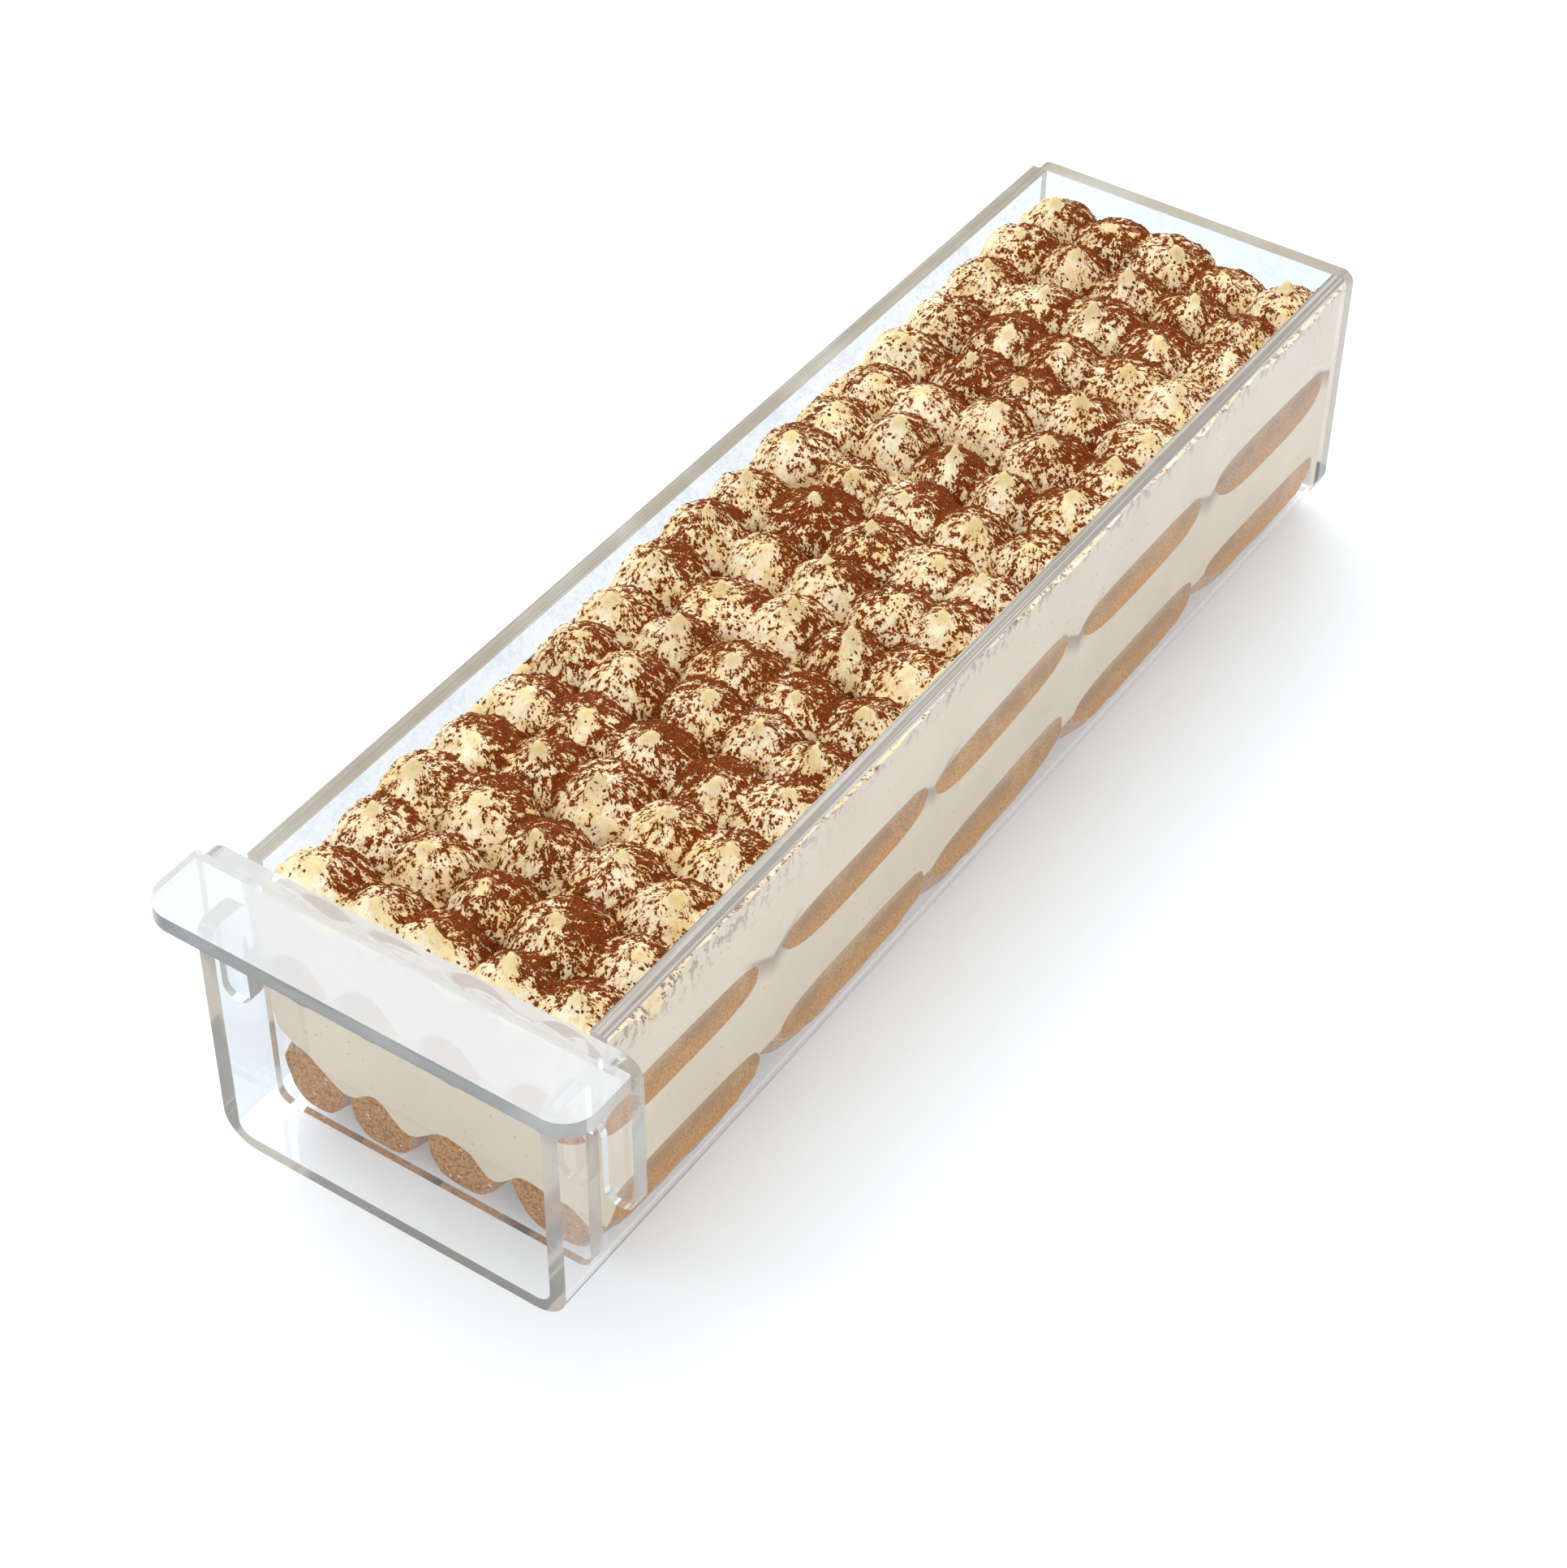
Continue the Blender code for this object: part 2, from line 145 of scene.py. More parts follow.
class Graph:
    """A node tree that is filled from Python, and the material that it belongs to, if any."""

    def __init__(self, tree, material=None):
        self.tree = tree
        self.material = material
        tree.nodes.clear()

    def node(self, kind, sockets=None, output=0, **settings):
        """Adds a node: its settings first, then the values or links of its sockets, by name or number."""
        made = self.tree.nodes.new(kind)
        for name, setting in settings.items():
            setattr(made, name, setting)
        for name, value in (sockets or {}).items():
            if isinstance(value, Value):
                self.tree.links.new(value.socket, made.inputs[name])
            else:
                made.inputs[name].default_value = value
        return Value(self, made.outputs[output]) if len(made.outputs) else None

    def math(self, operation, *values):
        return self.node("ShaderNodeMath", dict(enumerate(values)), operation=operation)

    def vector(self, operation, *values, **named):
        return self.node("ShaderNodeVectorMath", {**dict(enumerate(values)), **named}, operation=operation)

    def geometry(self, kind, **sockets):
        return self.node("GeometryNode" + kind, sockets)

    def split(self, vector):
        parts = self.node("ShaderNodeSeparateXYZ", {0: vector})
        return [parts.out(axis) for axis in "XYZ"]

    def join(self, x, y, z):
        return self.node("ShaderNodeCombineXYZ", {0: x, 1: y, 2: z})

    def mix(self, factor, first, second, how="MIX"):
        """Mixes two colours, each an output, a linear colour or an sRGB code."""
        first, second = [colour(part) if isinstance(part, str) else part for part in (first, second)]
        sockets = {0: factor, 6: first, 7: second}
        return self.node("ShaderNodeMix", sockets, output=2, data_type="RGBA", blend_type=how)

    def ramp(self, factor, stops):
        made = self.node("ShaderNodeValToRGB", {"Fac": factor})
        elements = made.socket.node.color_ramp.elements
        while len(elements) < len(stops):
            elements.new(0.5)
        for element, (place, stop_colour) in zip(elements, stops):
            element.position = place
            element.color = stop_colour
        return made

    def place(self):
        return self.node("ShaderNodeTexCoord").out("Object")

    def noise(self, vector, scale, detail=2.0, roughness=0.5):
        sockets = {"Vector": vector, "Scale": scale, "Detail": detail, "Roughness": roughness}
        return self.node("ShaderNodeTexNoise", sockets)

    def attribute(self, name, output="Fac"):
        return self.node("ShaderNodeAttribute", attribute_name=name).out(output)

    def bump(self, height, strength, distance):
        return self.node("ShaderNodeBump", {"Strength": strength, "Distance": distance, "Height": height})

    def show(self, shader):
        """Ends a material with a shader, or with a Principled one that has the given sockets."""
        if isinstance(shader, dict):
            shader = self.node("ShaderNodeBsdfPrincipled", shader)
        self.node("ShaderNodeOutputMaterial", {"Surface": shader})
        return self.material


def colour(code):
    """The linear colour of an sRGB code such as F5E9C6."""
    parts = [int(code[start:start + 2], 16) / 255 for start in (0, 2, 4)]
    return (*[part / 12.92 if part < 0.04045 else ((part + 0.055) / 1.055) ** 2.4 for part in parts], 1.0)


def new_finish(name):
    material = bpy.data.materials.new(name)
    material.use_nodes = True
    return Graph(material.node_tree, material)


# %% [markdown]
# ## Floor and light
# The tray stands on a white table that glows a little, under soft light. One large softbox hangs behind the
# tray, where the level acrylic mirrors it towards the camera, and that is why the handle looks milky. That
# veil is also painted, as a milky glare in the finish of the handle and of the gate's top. The sky is dimmer
# near the horizon, so that the acrylic's edges find something grey to bend into view.

# %% Floor
FLOOR_SIZE = 6.0
FLOOR_GAP = 0.3 * MM
TABLE_GLOW = 0.125

floor_mesh = bpy.data.meshes.new("floor")
floor_shape = bmesh.new()
bmesh.ops.create_grid(floor_shape, x_segments=8, y_segments=8, size=FLOOR_SIZE / 2)
floor_shape.to_mesh(floor_mesh)
floor_shape.free()
for vertex in floor_mesh.vertices:
    vertex.co.z = -FLOOR_GAP
floor = add_object("floor", floor_mesh)

graph = new_finish("white table")
mottle = graph.noise(graph.place(), 3.0)
white_table = graph.show({
    "Base Color": graph.mix(mottle, (0.90, 0.905, 0.915, 1), (0.92, 0.925, 0.93, 1)),
    "Roughness": 0.9,
    "Specular IOR Level": 0.0,
    "Emission Color": (0.74, 0.93, 1.0, 1),
    "Emission Strength": TABLE_GLOW,
})
floor_mesh.materials.append(white_table)
print("floor", FLOOR_SIZE, "m wide")

# %% Sky
SKY_STRENGTH = 0.8

world = bpy.data.worlds.new("studio")
world.use_nodes = True
scene.world = world
graph = Graph(world.node_tree)
direction = graph.node("ShaderNodeTexCoord").out("Generated")
sky = graph.ramp(graph.split(direction)[2], [
    (0.0, (0.40, 0.41, 0.43, 1)),
    (0.12, (0.55, 0.56, 0.58, 1)),
    (0.40, (0.92, 0.93, 0.95, 1)),
    (1.0, (1.0, 1.0, 1.0, 1)),
])
background = graph.node("ShaderNodeBackground", {"Color": sky, "Strength": SKY_STRENGTH})
graph.node("ShaderNodeOutputWorld", {"Surface": background})

# %% Softboxes
SOFTBOXES = {
    "softbox_behind": ((-0.72, 0.62, 1.22), (1.45, 1.15), 14),
    "softbox_left": ((-1.25, -0.75, 1.00), (0.7, 0.7), 3),
    "softbox_right": ((1.3, -0.9, 0.9), (1.0, 1.0), 6.5),
}
LIGHT_TARGET = (0.0, -0.05, 0.05)
COOL_LIGHT = (0.94, 0.99, 1.06)

for name, (place, size, power) in SOFTBOXES.items():
    lamp = bpy.data.lights.new(name, "AREA")
    lamp.shape = "RECTANGLE"
    lamp.size, lamp.size_y = size
    lamp.energy = power
    lamp.color = COOL_LIGHT
    light = add_object(name, lamp)
    light.location = place
    aim = (light.location - Vector(LIGHT_TARGET)).to_track_quat("Z", "Y")
    light.rotation_euler = aim.to_euler()
    print(name, power, "W")

scene.view_settings.view_transform = "Standard"
scene.view_settings.exposure = 0.0
scene.cycles.caustics_reflective = False
scene.cycles.caustics_refractive = False
BOUNCES = {"max": 36, "transmission": 32, "transparent_max": 24, "glossy": 12, "diffuse": 5}
for kind, bounces in BOUNCES.items():
    setattr(scene.cycles, kind + "_bounces", bounces)

# %% [markdown]
# ## Acrylic
# The tray is one sheet of clear acrylic bent to a U, with a plate glued across its back. The gate is a flat
# sheet with hooked ears, and its handle a second sheet. A finish that is only see-through would lose the grey
# and silver lines along every edge, so this one refracts. Only light between the lamps, the food and the
# table passes straight through, because a path tracer finds focused light slowly.
#
# One rule makes all the kinds: clear faces, the left wall and back plate with a painted cool cast, cut edges
# and rims that the saw left frosted and lined and that carry a painted beige of the food seen through them,
# the left rim darker, and the handle, whose faces carry a painted milky glare under the softbox.

# %% Acrylic finish
ACRYLIC_IOR = 1.49
SMUDGED = (0.965, 0.975, 0.985, 1)
SAW_LINE = (0.13, 0.12, 0.11, 1)
LET_THROUGH = (0.975, 0.98, 0.985, 1)


def acrylic_finish(name, streaks, roughness, tint, clearness, lines=0.0):
    """Clear acrylic. Cut edges have streaks, left by the saw and the flame, across or along the sheet."""
    graph = new_finish(name)
    place = graph.place()
    smudge = graph.noise(place, 28.0, 3.0).step(0.45, 0.75)
    wave = graph.noise(place, 14.0, 1.0)
    x, y, z = graph.split(place)
    slant = graph.join((x + y + z) * 700, (x - z) * 60, y * 60)
    along = graph.vector("MULTIPLY", place, (1100.0, 5.0, 60.0))
    saw = graph.noise(along if lines else slant, 1.0, 3.0)
    worn = graph.mix(smudge * 0.25, (*tint, 1), SMUDGED)
    shell = graph.node("ShaderNodeBsdfPrincipled", {
        "Base Color": graph.mix(saw.step(0.46, 0.55) * lines, worn, SAW_LINE),
        "Roughness": smudge * 0.03 + roughness,
        "IOR": ACRYLIC_IOR,
        "Transmission Weight": clearness,
        "Normal": graph.bump(wave * 0.0006 + saw * streaks, 1.0, 1.0),
    })
    clear = graph.node("ShaderNodeBsdfTransparent", {"Color": LET_THROUGH})
    ray = graph.node("ShaderNodeLightPath")
    soft = graph.node("ShaderNodeMixShader", {0: ray.out("Is Diffuse Ray"), 1: shell, 2: clear})
    return graph.show(graph.node("ShaderNodeMixShader", {0: ray.out("Is Shadow Ray"), 1: soft, 2: clear}))


clear_acrylic = acrylic_finish("clear acrylic", 0.0, 0.008, (0.985, 0.992, 0.995), 1.0)
# Sawn cut edges: frosted by the saw, with a painted beige of the food seen through them.
sawn_acrylic_painted_beige = acrylic_finish("sawn acrylic edge, painted beige", 0.00014, 0.14, (0.50, 0.47, 0.415), 0.48)
# Polished front edge of the handle: its dark tint is a painted reflection of dark surroundings.
handle_edge_painted_dark = acrylic_finish("polished handle edge, painted dark", 0.00002, 0.22, (0.09, 0.10, 0.10), 1.0)
# Handle faces and gate top: the softbox's veil, painted into them as a milky glare.
acrylic_painted_glare = acrylic_finish("acrylic with painted glare", 0.0, 0.05, (0.73, 0.73, 0.715), 0.60)
# Sawn rims: frosted and lined by the saw, with a painted beige of the food seen through them.
sawn_rim_painted_beige = acrylic_finish("sawn rim, painted beige", 0.0002, 0.36, (0.55, 0.51, 0.44), 0.42, lines=0.7)
# Left wall and back plate: clear acrylic with a painted cool, dimmer cast.
acrylic_painted_cool = acrylic_finish("acrylic with painted cool cast", 0.0, 0.01, (0.76, 0.81, 0.86), 1.0)
# The left and back rims: the same sawn rim, painted a darker beige.
left_rim_painted_dark_beige = acrylic_finish("left rim, painted dark beige", 0.0002, 0.36, (0.32, 0.275, 0.19), 0.42, lines=0.35)
back_rim_painted_beige = acrylic_finish("back rim, painted beige", 0.0001, 0.30, (0.40, 0.36, 0.27), 0.42)
ACRYLICS = [clear_acrylic, sawn_acrylic_painted_beige, handle_edge_painted_dark, acrylic_painted_glare, sawn_rim_painted_beige, acrylic_painted_cool, left_rim_painted_dark_beige,
            back_rim_painted_beige]
print(len(ACRYLICS), "kinds of acrylic face")


# %% Outlines and sheets
def rounded_outline(corners, steps=16):
    """Points of a closed outline. Each corner is (x, y, radius), and a radius of 0 keeps it sharp."""
    points = []
    for index, (x, y, radius) in enumerate(corners):
        before = corners[index - 1]
        after = corners[(index + 1) % len(corners)]
        into = math.atan2(y - before[1], x - before[0])
        out = math.atan2(after[1] - y, after[0] - x)
        turn = (out - into + math.pi) % (2 * math.pi) - math.pi
        reach = radius * math.tan(abs(turn) / 2)
        side = math.copysign(1, turn)
        centre_x = x - reach * math.cos(into) - side * radius * math.sin(into)
        centre_y = y - reach * math.sin(into) + side * radius * math.cos(into)
        for step in range(steps + 1 if radius else 1):
            angle = into - side * math.pi / 2 + turn * step / steps
            points.append((centre_x + radius * math.cos(angle), centre_y + radius * math.sin(angle)))
    return points


# For each plane, which of along, up and depth is X, Y and Z
AXES = {"XY": (0, 1, 2), "XZ": (0, 2, 1), "YZ": (2, 0, 1)}


def sheet(name, outline, start, end, plane):
    """An object: a flat outline with a thickness from start to end, as one closed prism."""
    prism = bmesh.new()
    near, far = [
        [prism.verts.new([(*point, depth)[axis] for axis in AXES[plane]]) for point in outline]
        for depth in (start, end)
    ]
    prism.faces.new(near)
    prism.faces.new(far)
    for index in range(len(outline)):
        after = (index + 1) % len(outline)
        prism.faces.new((near[index], near[after], far[after], far[index]))
    bmesh.ops.recalc_face_normals(prism, faces=prism.faces)
    mesh = bpy.data.meshes.new(name)
    prism.to_mesh(mesh)
    prism.free()
    return add_object(name, mesh)


def carve(body, tool, operation):
    """Joins or cuts body with tool, which is then removed."""
    modifier = body.modifiers.new(operation, "BOOLEAN")
    modifier.operation = operation
    modifier.solver = "EXACT"
    modifier.object = tool
    bake(body)
    bpy.data.objects.remove(tool)


def bake(made):
    """Makes what the modifiers show the object's own mesh, and removes them."""
    bpy.context.view_layer.update()
    depsgraph = bpy.context.evaluated_depsgraph_get()
    mesh = bpy.data.meshes.new_from_object(made.evaluated_get(depsgraph))
    made.modifiers.clear()
    made.data = mesh
    return made


# %% [markdown]
# Sawn and polished edges have a round of a third of a millimetre, which catches a thin line of light. A
# Bevel modifier makes it, and weighted normals keep the large faces flat, so that they bend nothing that
# they shouldn't. A rule then names the finish of each face.

# %% Edges of the acrylic
EDGE_ROUND = 0.35 * MM
COPLANAR = math.radians(0.5)
SHARP = math.radians(40)
SQUARE_ON = 0.9
LEVEL = 0.97
SIDEWAYS = 0.5


def polish(made, finish_of):
    """Rounds the edges and gives every face the finish that the rule names."""
    shape = bmesh.new()
    shape.from_mesh(made.data)
    bmesh.ops.remove_doubles(shape, verts=shape.verts, dist=1e-6)
    bmesh.ops.dissolve_limit(shape, angle_limit=COPLANAR, verts=shape.verts, edges=shape.edges)
    shape.to_mesh(made.data)
    shape.free()
    made.data.materials.clear()
    for finish in ACRYLICS:
        made.data.materials.append(finish)
    bevel = made.modifiers.new("edges", "BEVEL")
    bevel.width = EDGE_ROUND
    bevel.segments = 3
    bevel.limit_method = "ANGLE"
    bevel.angle_limit = SHARP
    made.data.shade_smooth()
    flat = made.modifiers.new("flat faces", "WEIGHTED_NORMAL")
    flat.weight = 100
    flat.keep_sharp = True
    bake(made)
    for face in made.data.polygons:
        face.material_index = ACRYLICS.index(finish_of(face))
    print(made.name, len(made.data.polygons), "faces")


# %% Sizes of the tray, from the frame
tray_low, tray_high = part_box("tray_channel")
back_low, back_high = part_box("back_plate")
gate_low, gate_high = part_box("gate")
handle_low, handle_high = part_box("handle_plate")
WALL = back_high.y - back_low.y
FLOOR_TOP = 4.0 * MM
INSIDE = tray_high.x - WALL
GATE_BACK = gate_high.y
BACK_FRONT = back_low.y
BEND_OUTSIDE = 10.0 * MM
BEND_INSIDE = 4.5 * MM
SMALL_ROUND = 4.0 * MM
CUT_ROUND = 1.0 * MM
TONGUE_TOP = 75.0 * MM
TONGUE_ROUND = 3.5 * MM
NOTCH_BOTTOM = 57.0 * MM
NOTCH_START = tray_low.y + 13.5 * MM
NOTCH_END = tray_low.y + 20.5 * MM
PLATE_STEP = 0.05 * MM
CLEAR_OF_TRAY = 2 * MM
print("inside of the tray", round(2 * INSIDE / MM, 1), "mm wide")


# %% Tray
def tray_finish(face):
    """Rims and cut fronts are sawn. The back plate and the left wall, seen from inside, get a painted cool
    cast.
    """
    up, toward = face.normal.z, face.normal.y
    x, y, z = face.center
    if abs(toward) > SQUARE_ON and y > BACK_FRONT - PLATE_STEP:
        return acrylic_painted_cool
    if abs(face.normal.x) > SQUARE_ON and x < PLATE_STEP - INSIDE and y < BACK_FRONT:
        return acrylic_painted_cool
    if up > SQUARE_ON and y > BACK_FRONT:
        return back_rim_painted_beige
    if up > SQUARE_ON and z > NOTCH_BOTTOM:
        return left_rim_painted_dark_beige if x < 0 else sawn_rim_painted_beige
    if toward < -SQUARE_ON and y < NOTCH_END + CUT_ROUND or abs(toward) < SIDEWAYS and y > BACK_FRONT:
        return sawn_acrylic_painted_beige
    return clear_acrylic


def make_tray():
    """The bent sheet with its back plate, and the low front with the notches for the gate."""
    half = tray_high.x
    top = tray_high.z
    section = rounded_outline([
        (-half, top, 0),
        (-half, 0, BEND_OUTSIDE),
        (half, 0, BEND_OUTSIDE),
        (half, top, 0),
        (INSIDE, top, 0),
        (INSIDE, FLOOR_TOP, BEND_INSIDE),
        (-INSIDE, FLOOR_TOP, BEND_INSIDE),
        (-INSIDE, top, 0),
    ])
    wide = half + PLATE_STEP
    outline = rounded_outline([
        (-wide, top - PLATE_STEP, SMALL_ROUND),
        (-wide, 0, BEND_OUTSIDE),
        (wide, 0, BEND_OUTSIDE),
        (wide, top - PLATE_STEP, SMALL_ROUND),
    ])
    tray = sheet("acrylic_tray", section, tray_low.y, BACK_FRONT + PLATE_STEP, "XZ")
    plate = sheet("plate", outline, BACK_FRONT, back_high.y, "XZ")
    carve(tray, plate, "UNION")
    tongue_start = TONGUE_TOP - TONGUE_ROUND
    tongue_corner = []
    for degrees in range(10, 91, 10):
        ahead = TONGUE_ROUND * (1 - math.cos(math.radians(degrees)))
        rise = TONGUE_ROUND * math.sin(math.radians(degrees))
        tongue_corner.append((tray_low.y + ahead, tongue_start + rise, 0))
    waste = rounded_outline([
        (tray_low.y - CLEAR_OF_TRAY, top + CLEAR_OF_TRAY, 0),
        (tray_low.y - CLEAR_OF_TRAY, tongue_start, 0),
        *tongue_corner,
        (NOTCH_START, TONGUE_TOP, TONGUE_ROUND),
        (NOTCH_START, NOTCH_BOTTOM, CUT_ROUND),
        (NOTCH_END, NOTCH_BOTTOM, CUT_ROUND),
        (NOTCH_END, top + CLEAR_OF_TRAY, 0),
    ], steps=8)
    cutter = sheet("waste", waste, -half - CLEAR_OF_TRAY, half + CLEAR_OF_TRAY, "YZ")
    carve(tray, cutter, "DIFFERENCE")
    polish(tray, tray_finish)
    return tray


tray = make_tray()
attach(tray, "root")
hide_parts("tray_channel", "back_plate")

# %% [markdown]
# The gate hangs over the side walls. It is cut from one sheet, and its handle is glued to its front, level
# with its top. Glue leaves no air, so the two are one body here: a gap between them would act as a mirror.

# %% Gate and handle
GLUE_OVERLAP = 0.6 * MM
GLUE_ROUND = 0.75 * MM
HANDLE_CLEAR = 5.0 * MM
HANDLE_SET_IN = 0.05 * MM
TOP_SKIN = 0.02 * MM
LOOKING_OUT = 0.4
GATE_HALF_INSIDE = 48.9 * MM
SLOT_OUTER = 57.2 * MM
SLOT_TOP = 61.0 * MM
EAR_BOTTOM = 35.5 * MM
EAR_ROUND = 6.0 * MM
HANDLE_ROUND = 9.5 * MM


def gate_finish(face):
    """Handle faces, gate top: painted milky glare. Handle front: painted dark reflection. Other edges: sawn."""
    of_handle = face.center.y < gate_low.y - HANDLE_CLEAR
    if of_handle and abs(face.normal.z) > SQUARE_ON:
        return acrylic_painted_glare
    if face.normal.z > LEVEL and face.center.z > gate_high.z - TOP_SKIN:
        return acrylic_painted_glare
    if of_handle and face.normal.y < -LOOKING_OUT:
        return handle_edge_painted_dark
    if abs(face.normal.y) < SIDEWAYS and abs(face.normal.z) < LEVEL:
        return sawn_acrylic_painted_beige
    return clear_acrylic


def make_gate():
    ear = gate_high.x
    right = [
        (GATE_HALF_INSIDE, gate_low.z, BEND_INSIDE),
        (GATE_HALF_INSIDE, SLOT_TOP, CUT_ROUND),
        (SLOT_OUTER, SLOT_TOP, SMALL_ROUND),
        (SLOT_OUTER, EAR_BOTTOM, SMALL_ROUND),
        (ear, EAR_BOTTOM, SMALL_ROUND),
        (ear, gate_high.z, EAR_ROUND),
    ]
    left = [(-x, z, radius) for x, z, radius in reversed(right)]
    gate = sheet("acrylic_gate", rounded_outline(right + left, steps=10), gate_low.y, gate_high.y, "XZ")
    plate = sheet("handle", rounded_outline([
        (-ear, gate_low.y + GLUE_OVERLAP, GLUE_ROUND),
        (-ear, handle_low.y, HANDLE_ROUND),
        (ear, handle_low.y, HANDLE_ROUND),
        (ear, gate_low.y + GLUE_OVERLAP, GLUE_ROUND),
    ]), handle_low.z, handle_high.z - HANDLE_SET_IN, "XY")
    carve(gate, plate, "UNION")
    polish(gate, gate_finish)
    return gate


gate = make_gate()
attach(gate, "root")
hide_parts("gate", "handle_plate")

# %% [markdown]
# ## Ladyfingers
# A ladyfinger is a piped sponge biscuit: flat below, round above, with round ends, and here soaked and
# squeezed until it presses flat against the acrylic. It could be sculpted, but forty follow one rule, so a
# Geometry Nodes tree turns a sphere into a biscuit. The frame says where each one lies.
#
# The outer biscuits were pushed against their walls, lean a little and curl under below. The lowest layer
# sags onto the floor, and the front row is squeezed against the gate, where the biscuits slid to the left.

# %% Shape of a ladyfinger
FINGER_RINGS = 60
FINGER_SIDES = 36
HALF_WIDTH = 12.0 * MM
PRESSED_HALF_WIDTH = 14.4 * MM
BOXINESS = 0.45
UNDERSIDE = 0.80
PRESSED_UNDERSIDE = 1.2
TUCK = 0.21
END_LENGTH = 0.62
NEAR_TAPER = 0.38
FAR_TAPER = 0.14
END_SOFTNESS = 1.6
WAIST_SHARE = 0.622
FINGER_BEND = 7.0 * MM
TILT = 1.6 * MM
BAKE = 0.10

# %% What pushed each one about, by its row or its column
INNER_COLUMNS = (2, 3)
LIE = 0.12 * MM
SAG = 0.6 * MM
SQUEEZED = 3.2 * MM
PUSHED = 0.8 * MM
SLID = {1: -1.0 * MM, 2: -4.0 * MM, 3: -3.0 * MM, 4: 0.0}
SHIFTED = {1: 0.0, 2: 3.5 * MM, 3: 0.5 * MM, 4: 1.0 * MM, 5: 2.5 * MM}
HANGING = {1: 1.0, 2: 1.30, 3: 1.0, 4: 1.10, 5: 1.40}
LEANING = {1: -1.2 * MM, 2: 0.3 * MM, 3: 2.4 * MM, 4: 0.4 * MM, 5: -0.9 * MM}
LAST_RISE = 0.62
# How much darker the upper biscuits of the last row are made.
LAST_ROW_DARKER = 0.14

# %% Where the ladyfingers are
finger_draws = random.Random(12)
fingers = []
for name in sorted(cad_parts):
    if name.startswith("ladyfinger"):
        low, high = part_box(name)
        layer = name.split("_")[1]
        row, column = [int(part) for part in name.split("_")[2:]]
        waist = low.z + (high.z - low.z) * WAIST_SHARE
        inner = column in INNER_COLUMNS
        fingers.append(SimpleNamespace(
            node=name,
            layer=layer,
            row=row,
            column=column,
            x=(low.x + high.x) / 2,
            y=(low.y + high.y) / 2,
            z=waist,
            half_width=HALF_WIDTH,
            half_length=(high.y - low.y) / 2,
            rise=high.z - waist,
            drop=waist - low.z,
            underside=UNDERSIDE if inner else PRESSED_UNDERSIDE,
            tuck=0.0 if inner else TUCK,
            tilt=finger_draws.uniform(-TILT, TILT),
            bake=finger_draws.uniform(0.0, BAKE) + (LAST_ROW_DARKER if row == 5 and layer == "high" else 0.0),
        ))
for finger in fingers:
    row, column = finger.row, finger.column
    finger.rise *= finger_draws.uniform(0.90, 1.06)
    finger.drop *= finger_draws.uniform(0.92, 1.08)
    if column == 4 or column == 1 and row > 1:
        finger.x += math.copysign(PUSHED, finger.x)
        finger.y += SHIFTED[row]
        finger.half_width = PRESSED_HALF_WIDTH
        finger.tilt = LEANING[row]
        finger.drop *= HANGING[row]
    if finger.layer == "low":
        finger.drop = finger.z - FLOOR_TOP + SAG
        if column == 4 and row == 5:
            finger.rise *= LAST_RISE
    if row == 1:
        finger.x += SLID[column]
        finger.y -= SQUEEZED
        finger.half_length += SQUEEZED
print(len(fingers), "ladyfingers,", round(2 * fingers[-1].half_length / MM, 1), "mm long")


# %% [markdown]
# Soaked sponge shows a fine crumb. Where it presses on a wall it is greyish tan above and orange-brown below,
# as the coffee sinks. Its baked skin is browner, with grains of sugar. A picture could be wrapped round it,
# but noise in the object's own coordinates needs no seam. The node tree marks what touches a wall.

# %% Soaked biscuit
def biscuit_finish():
    graph = new_finish("soaked ladyfinger")
    place = graph.place()
    pressed = graph.attribute("pressed")
    depth = graph.attribute("depth")
    bake = graph.attribute("bake")
    cloud = graph.noise(place, 90.0, 3.0)
    worms = graph.noise(graph.vector("MULTIPLY", place, (1000.0, 650.0, 1000.0)), 1.0, 5.0, 0.75)
    grit = graph.noise(place, 1700.0, 3.0, 0.7)
    fine = graph.noise(place, 2600.0, 2.0, 0.6)
    shade = graph.noise(place, 17.0, 1.0)
    crumb = graph.mix(grit.step(0.36, 0.62), "8E5614", "E2AA58")
    crumb = graph.mix(fine.step(0.46, 0.62) * 0.6, crumb, "DDB986")
    crumb = graph.mix(cloud.step(0.35, 0.62) * 0.6, crumb, "9C6C3C")
    crumb = graph.mix((depth * -1).step(3.0, 7.0) * 0.7, crumb, "C9AE92")
    orange = graph.mix(grit.step(0.34, 0.64), "AC6410", "E8AA4C")
    crumb = graph.mix((depth + cloud * 6.0 + shade * 8.0).step(6.0, 12.5), crumb, orange)
    baked = graph.mix(worms.step(0.40, 0.58), "8A521F", "CA8A42")
    baked = graph.mix(fine.step(0.50, 0.62) * 0.6, baked, "E2BC88")
    grains = graph.node("ShaderNodeTexVoronoi", {"Vector": place, "Scale": 420.0})
    pick = graph.noise(place, 210.0, 1.0).step(0.54, 0.60)
    sugar = (0.22 - grains.out("Distance")).step(0.0, 0.04) * pick
    baked = graph.mix(sugar * 0.85, baked, "F0D6A0")
    tone = graph.mix(pressed * (0.75 + cloud * 0.3), baked, crumb)
    return graph.show({
        "Base Color": graph.mix(bake, tone, (0.20, 0.13, 0.07, 1), how="MULTIPLY"),
        "Roughness": 0.72 - worms * 0.2,
        "Specular IOR Level": 0.25,
        "Normal": graph.bump(worms + fine * 0.5 + sugar * 0.6, 0.6, 0.001),
    })


soaked_biscuit = biscuit_finish()


# %% [markdown]
# The tree pulls the sphere to a box with soft ends, tilts it, roughens it with noise and then keeps it inside
# the tray, where the corner between wall and floor rounds it.

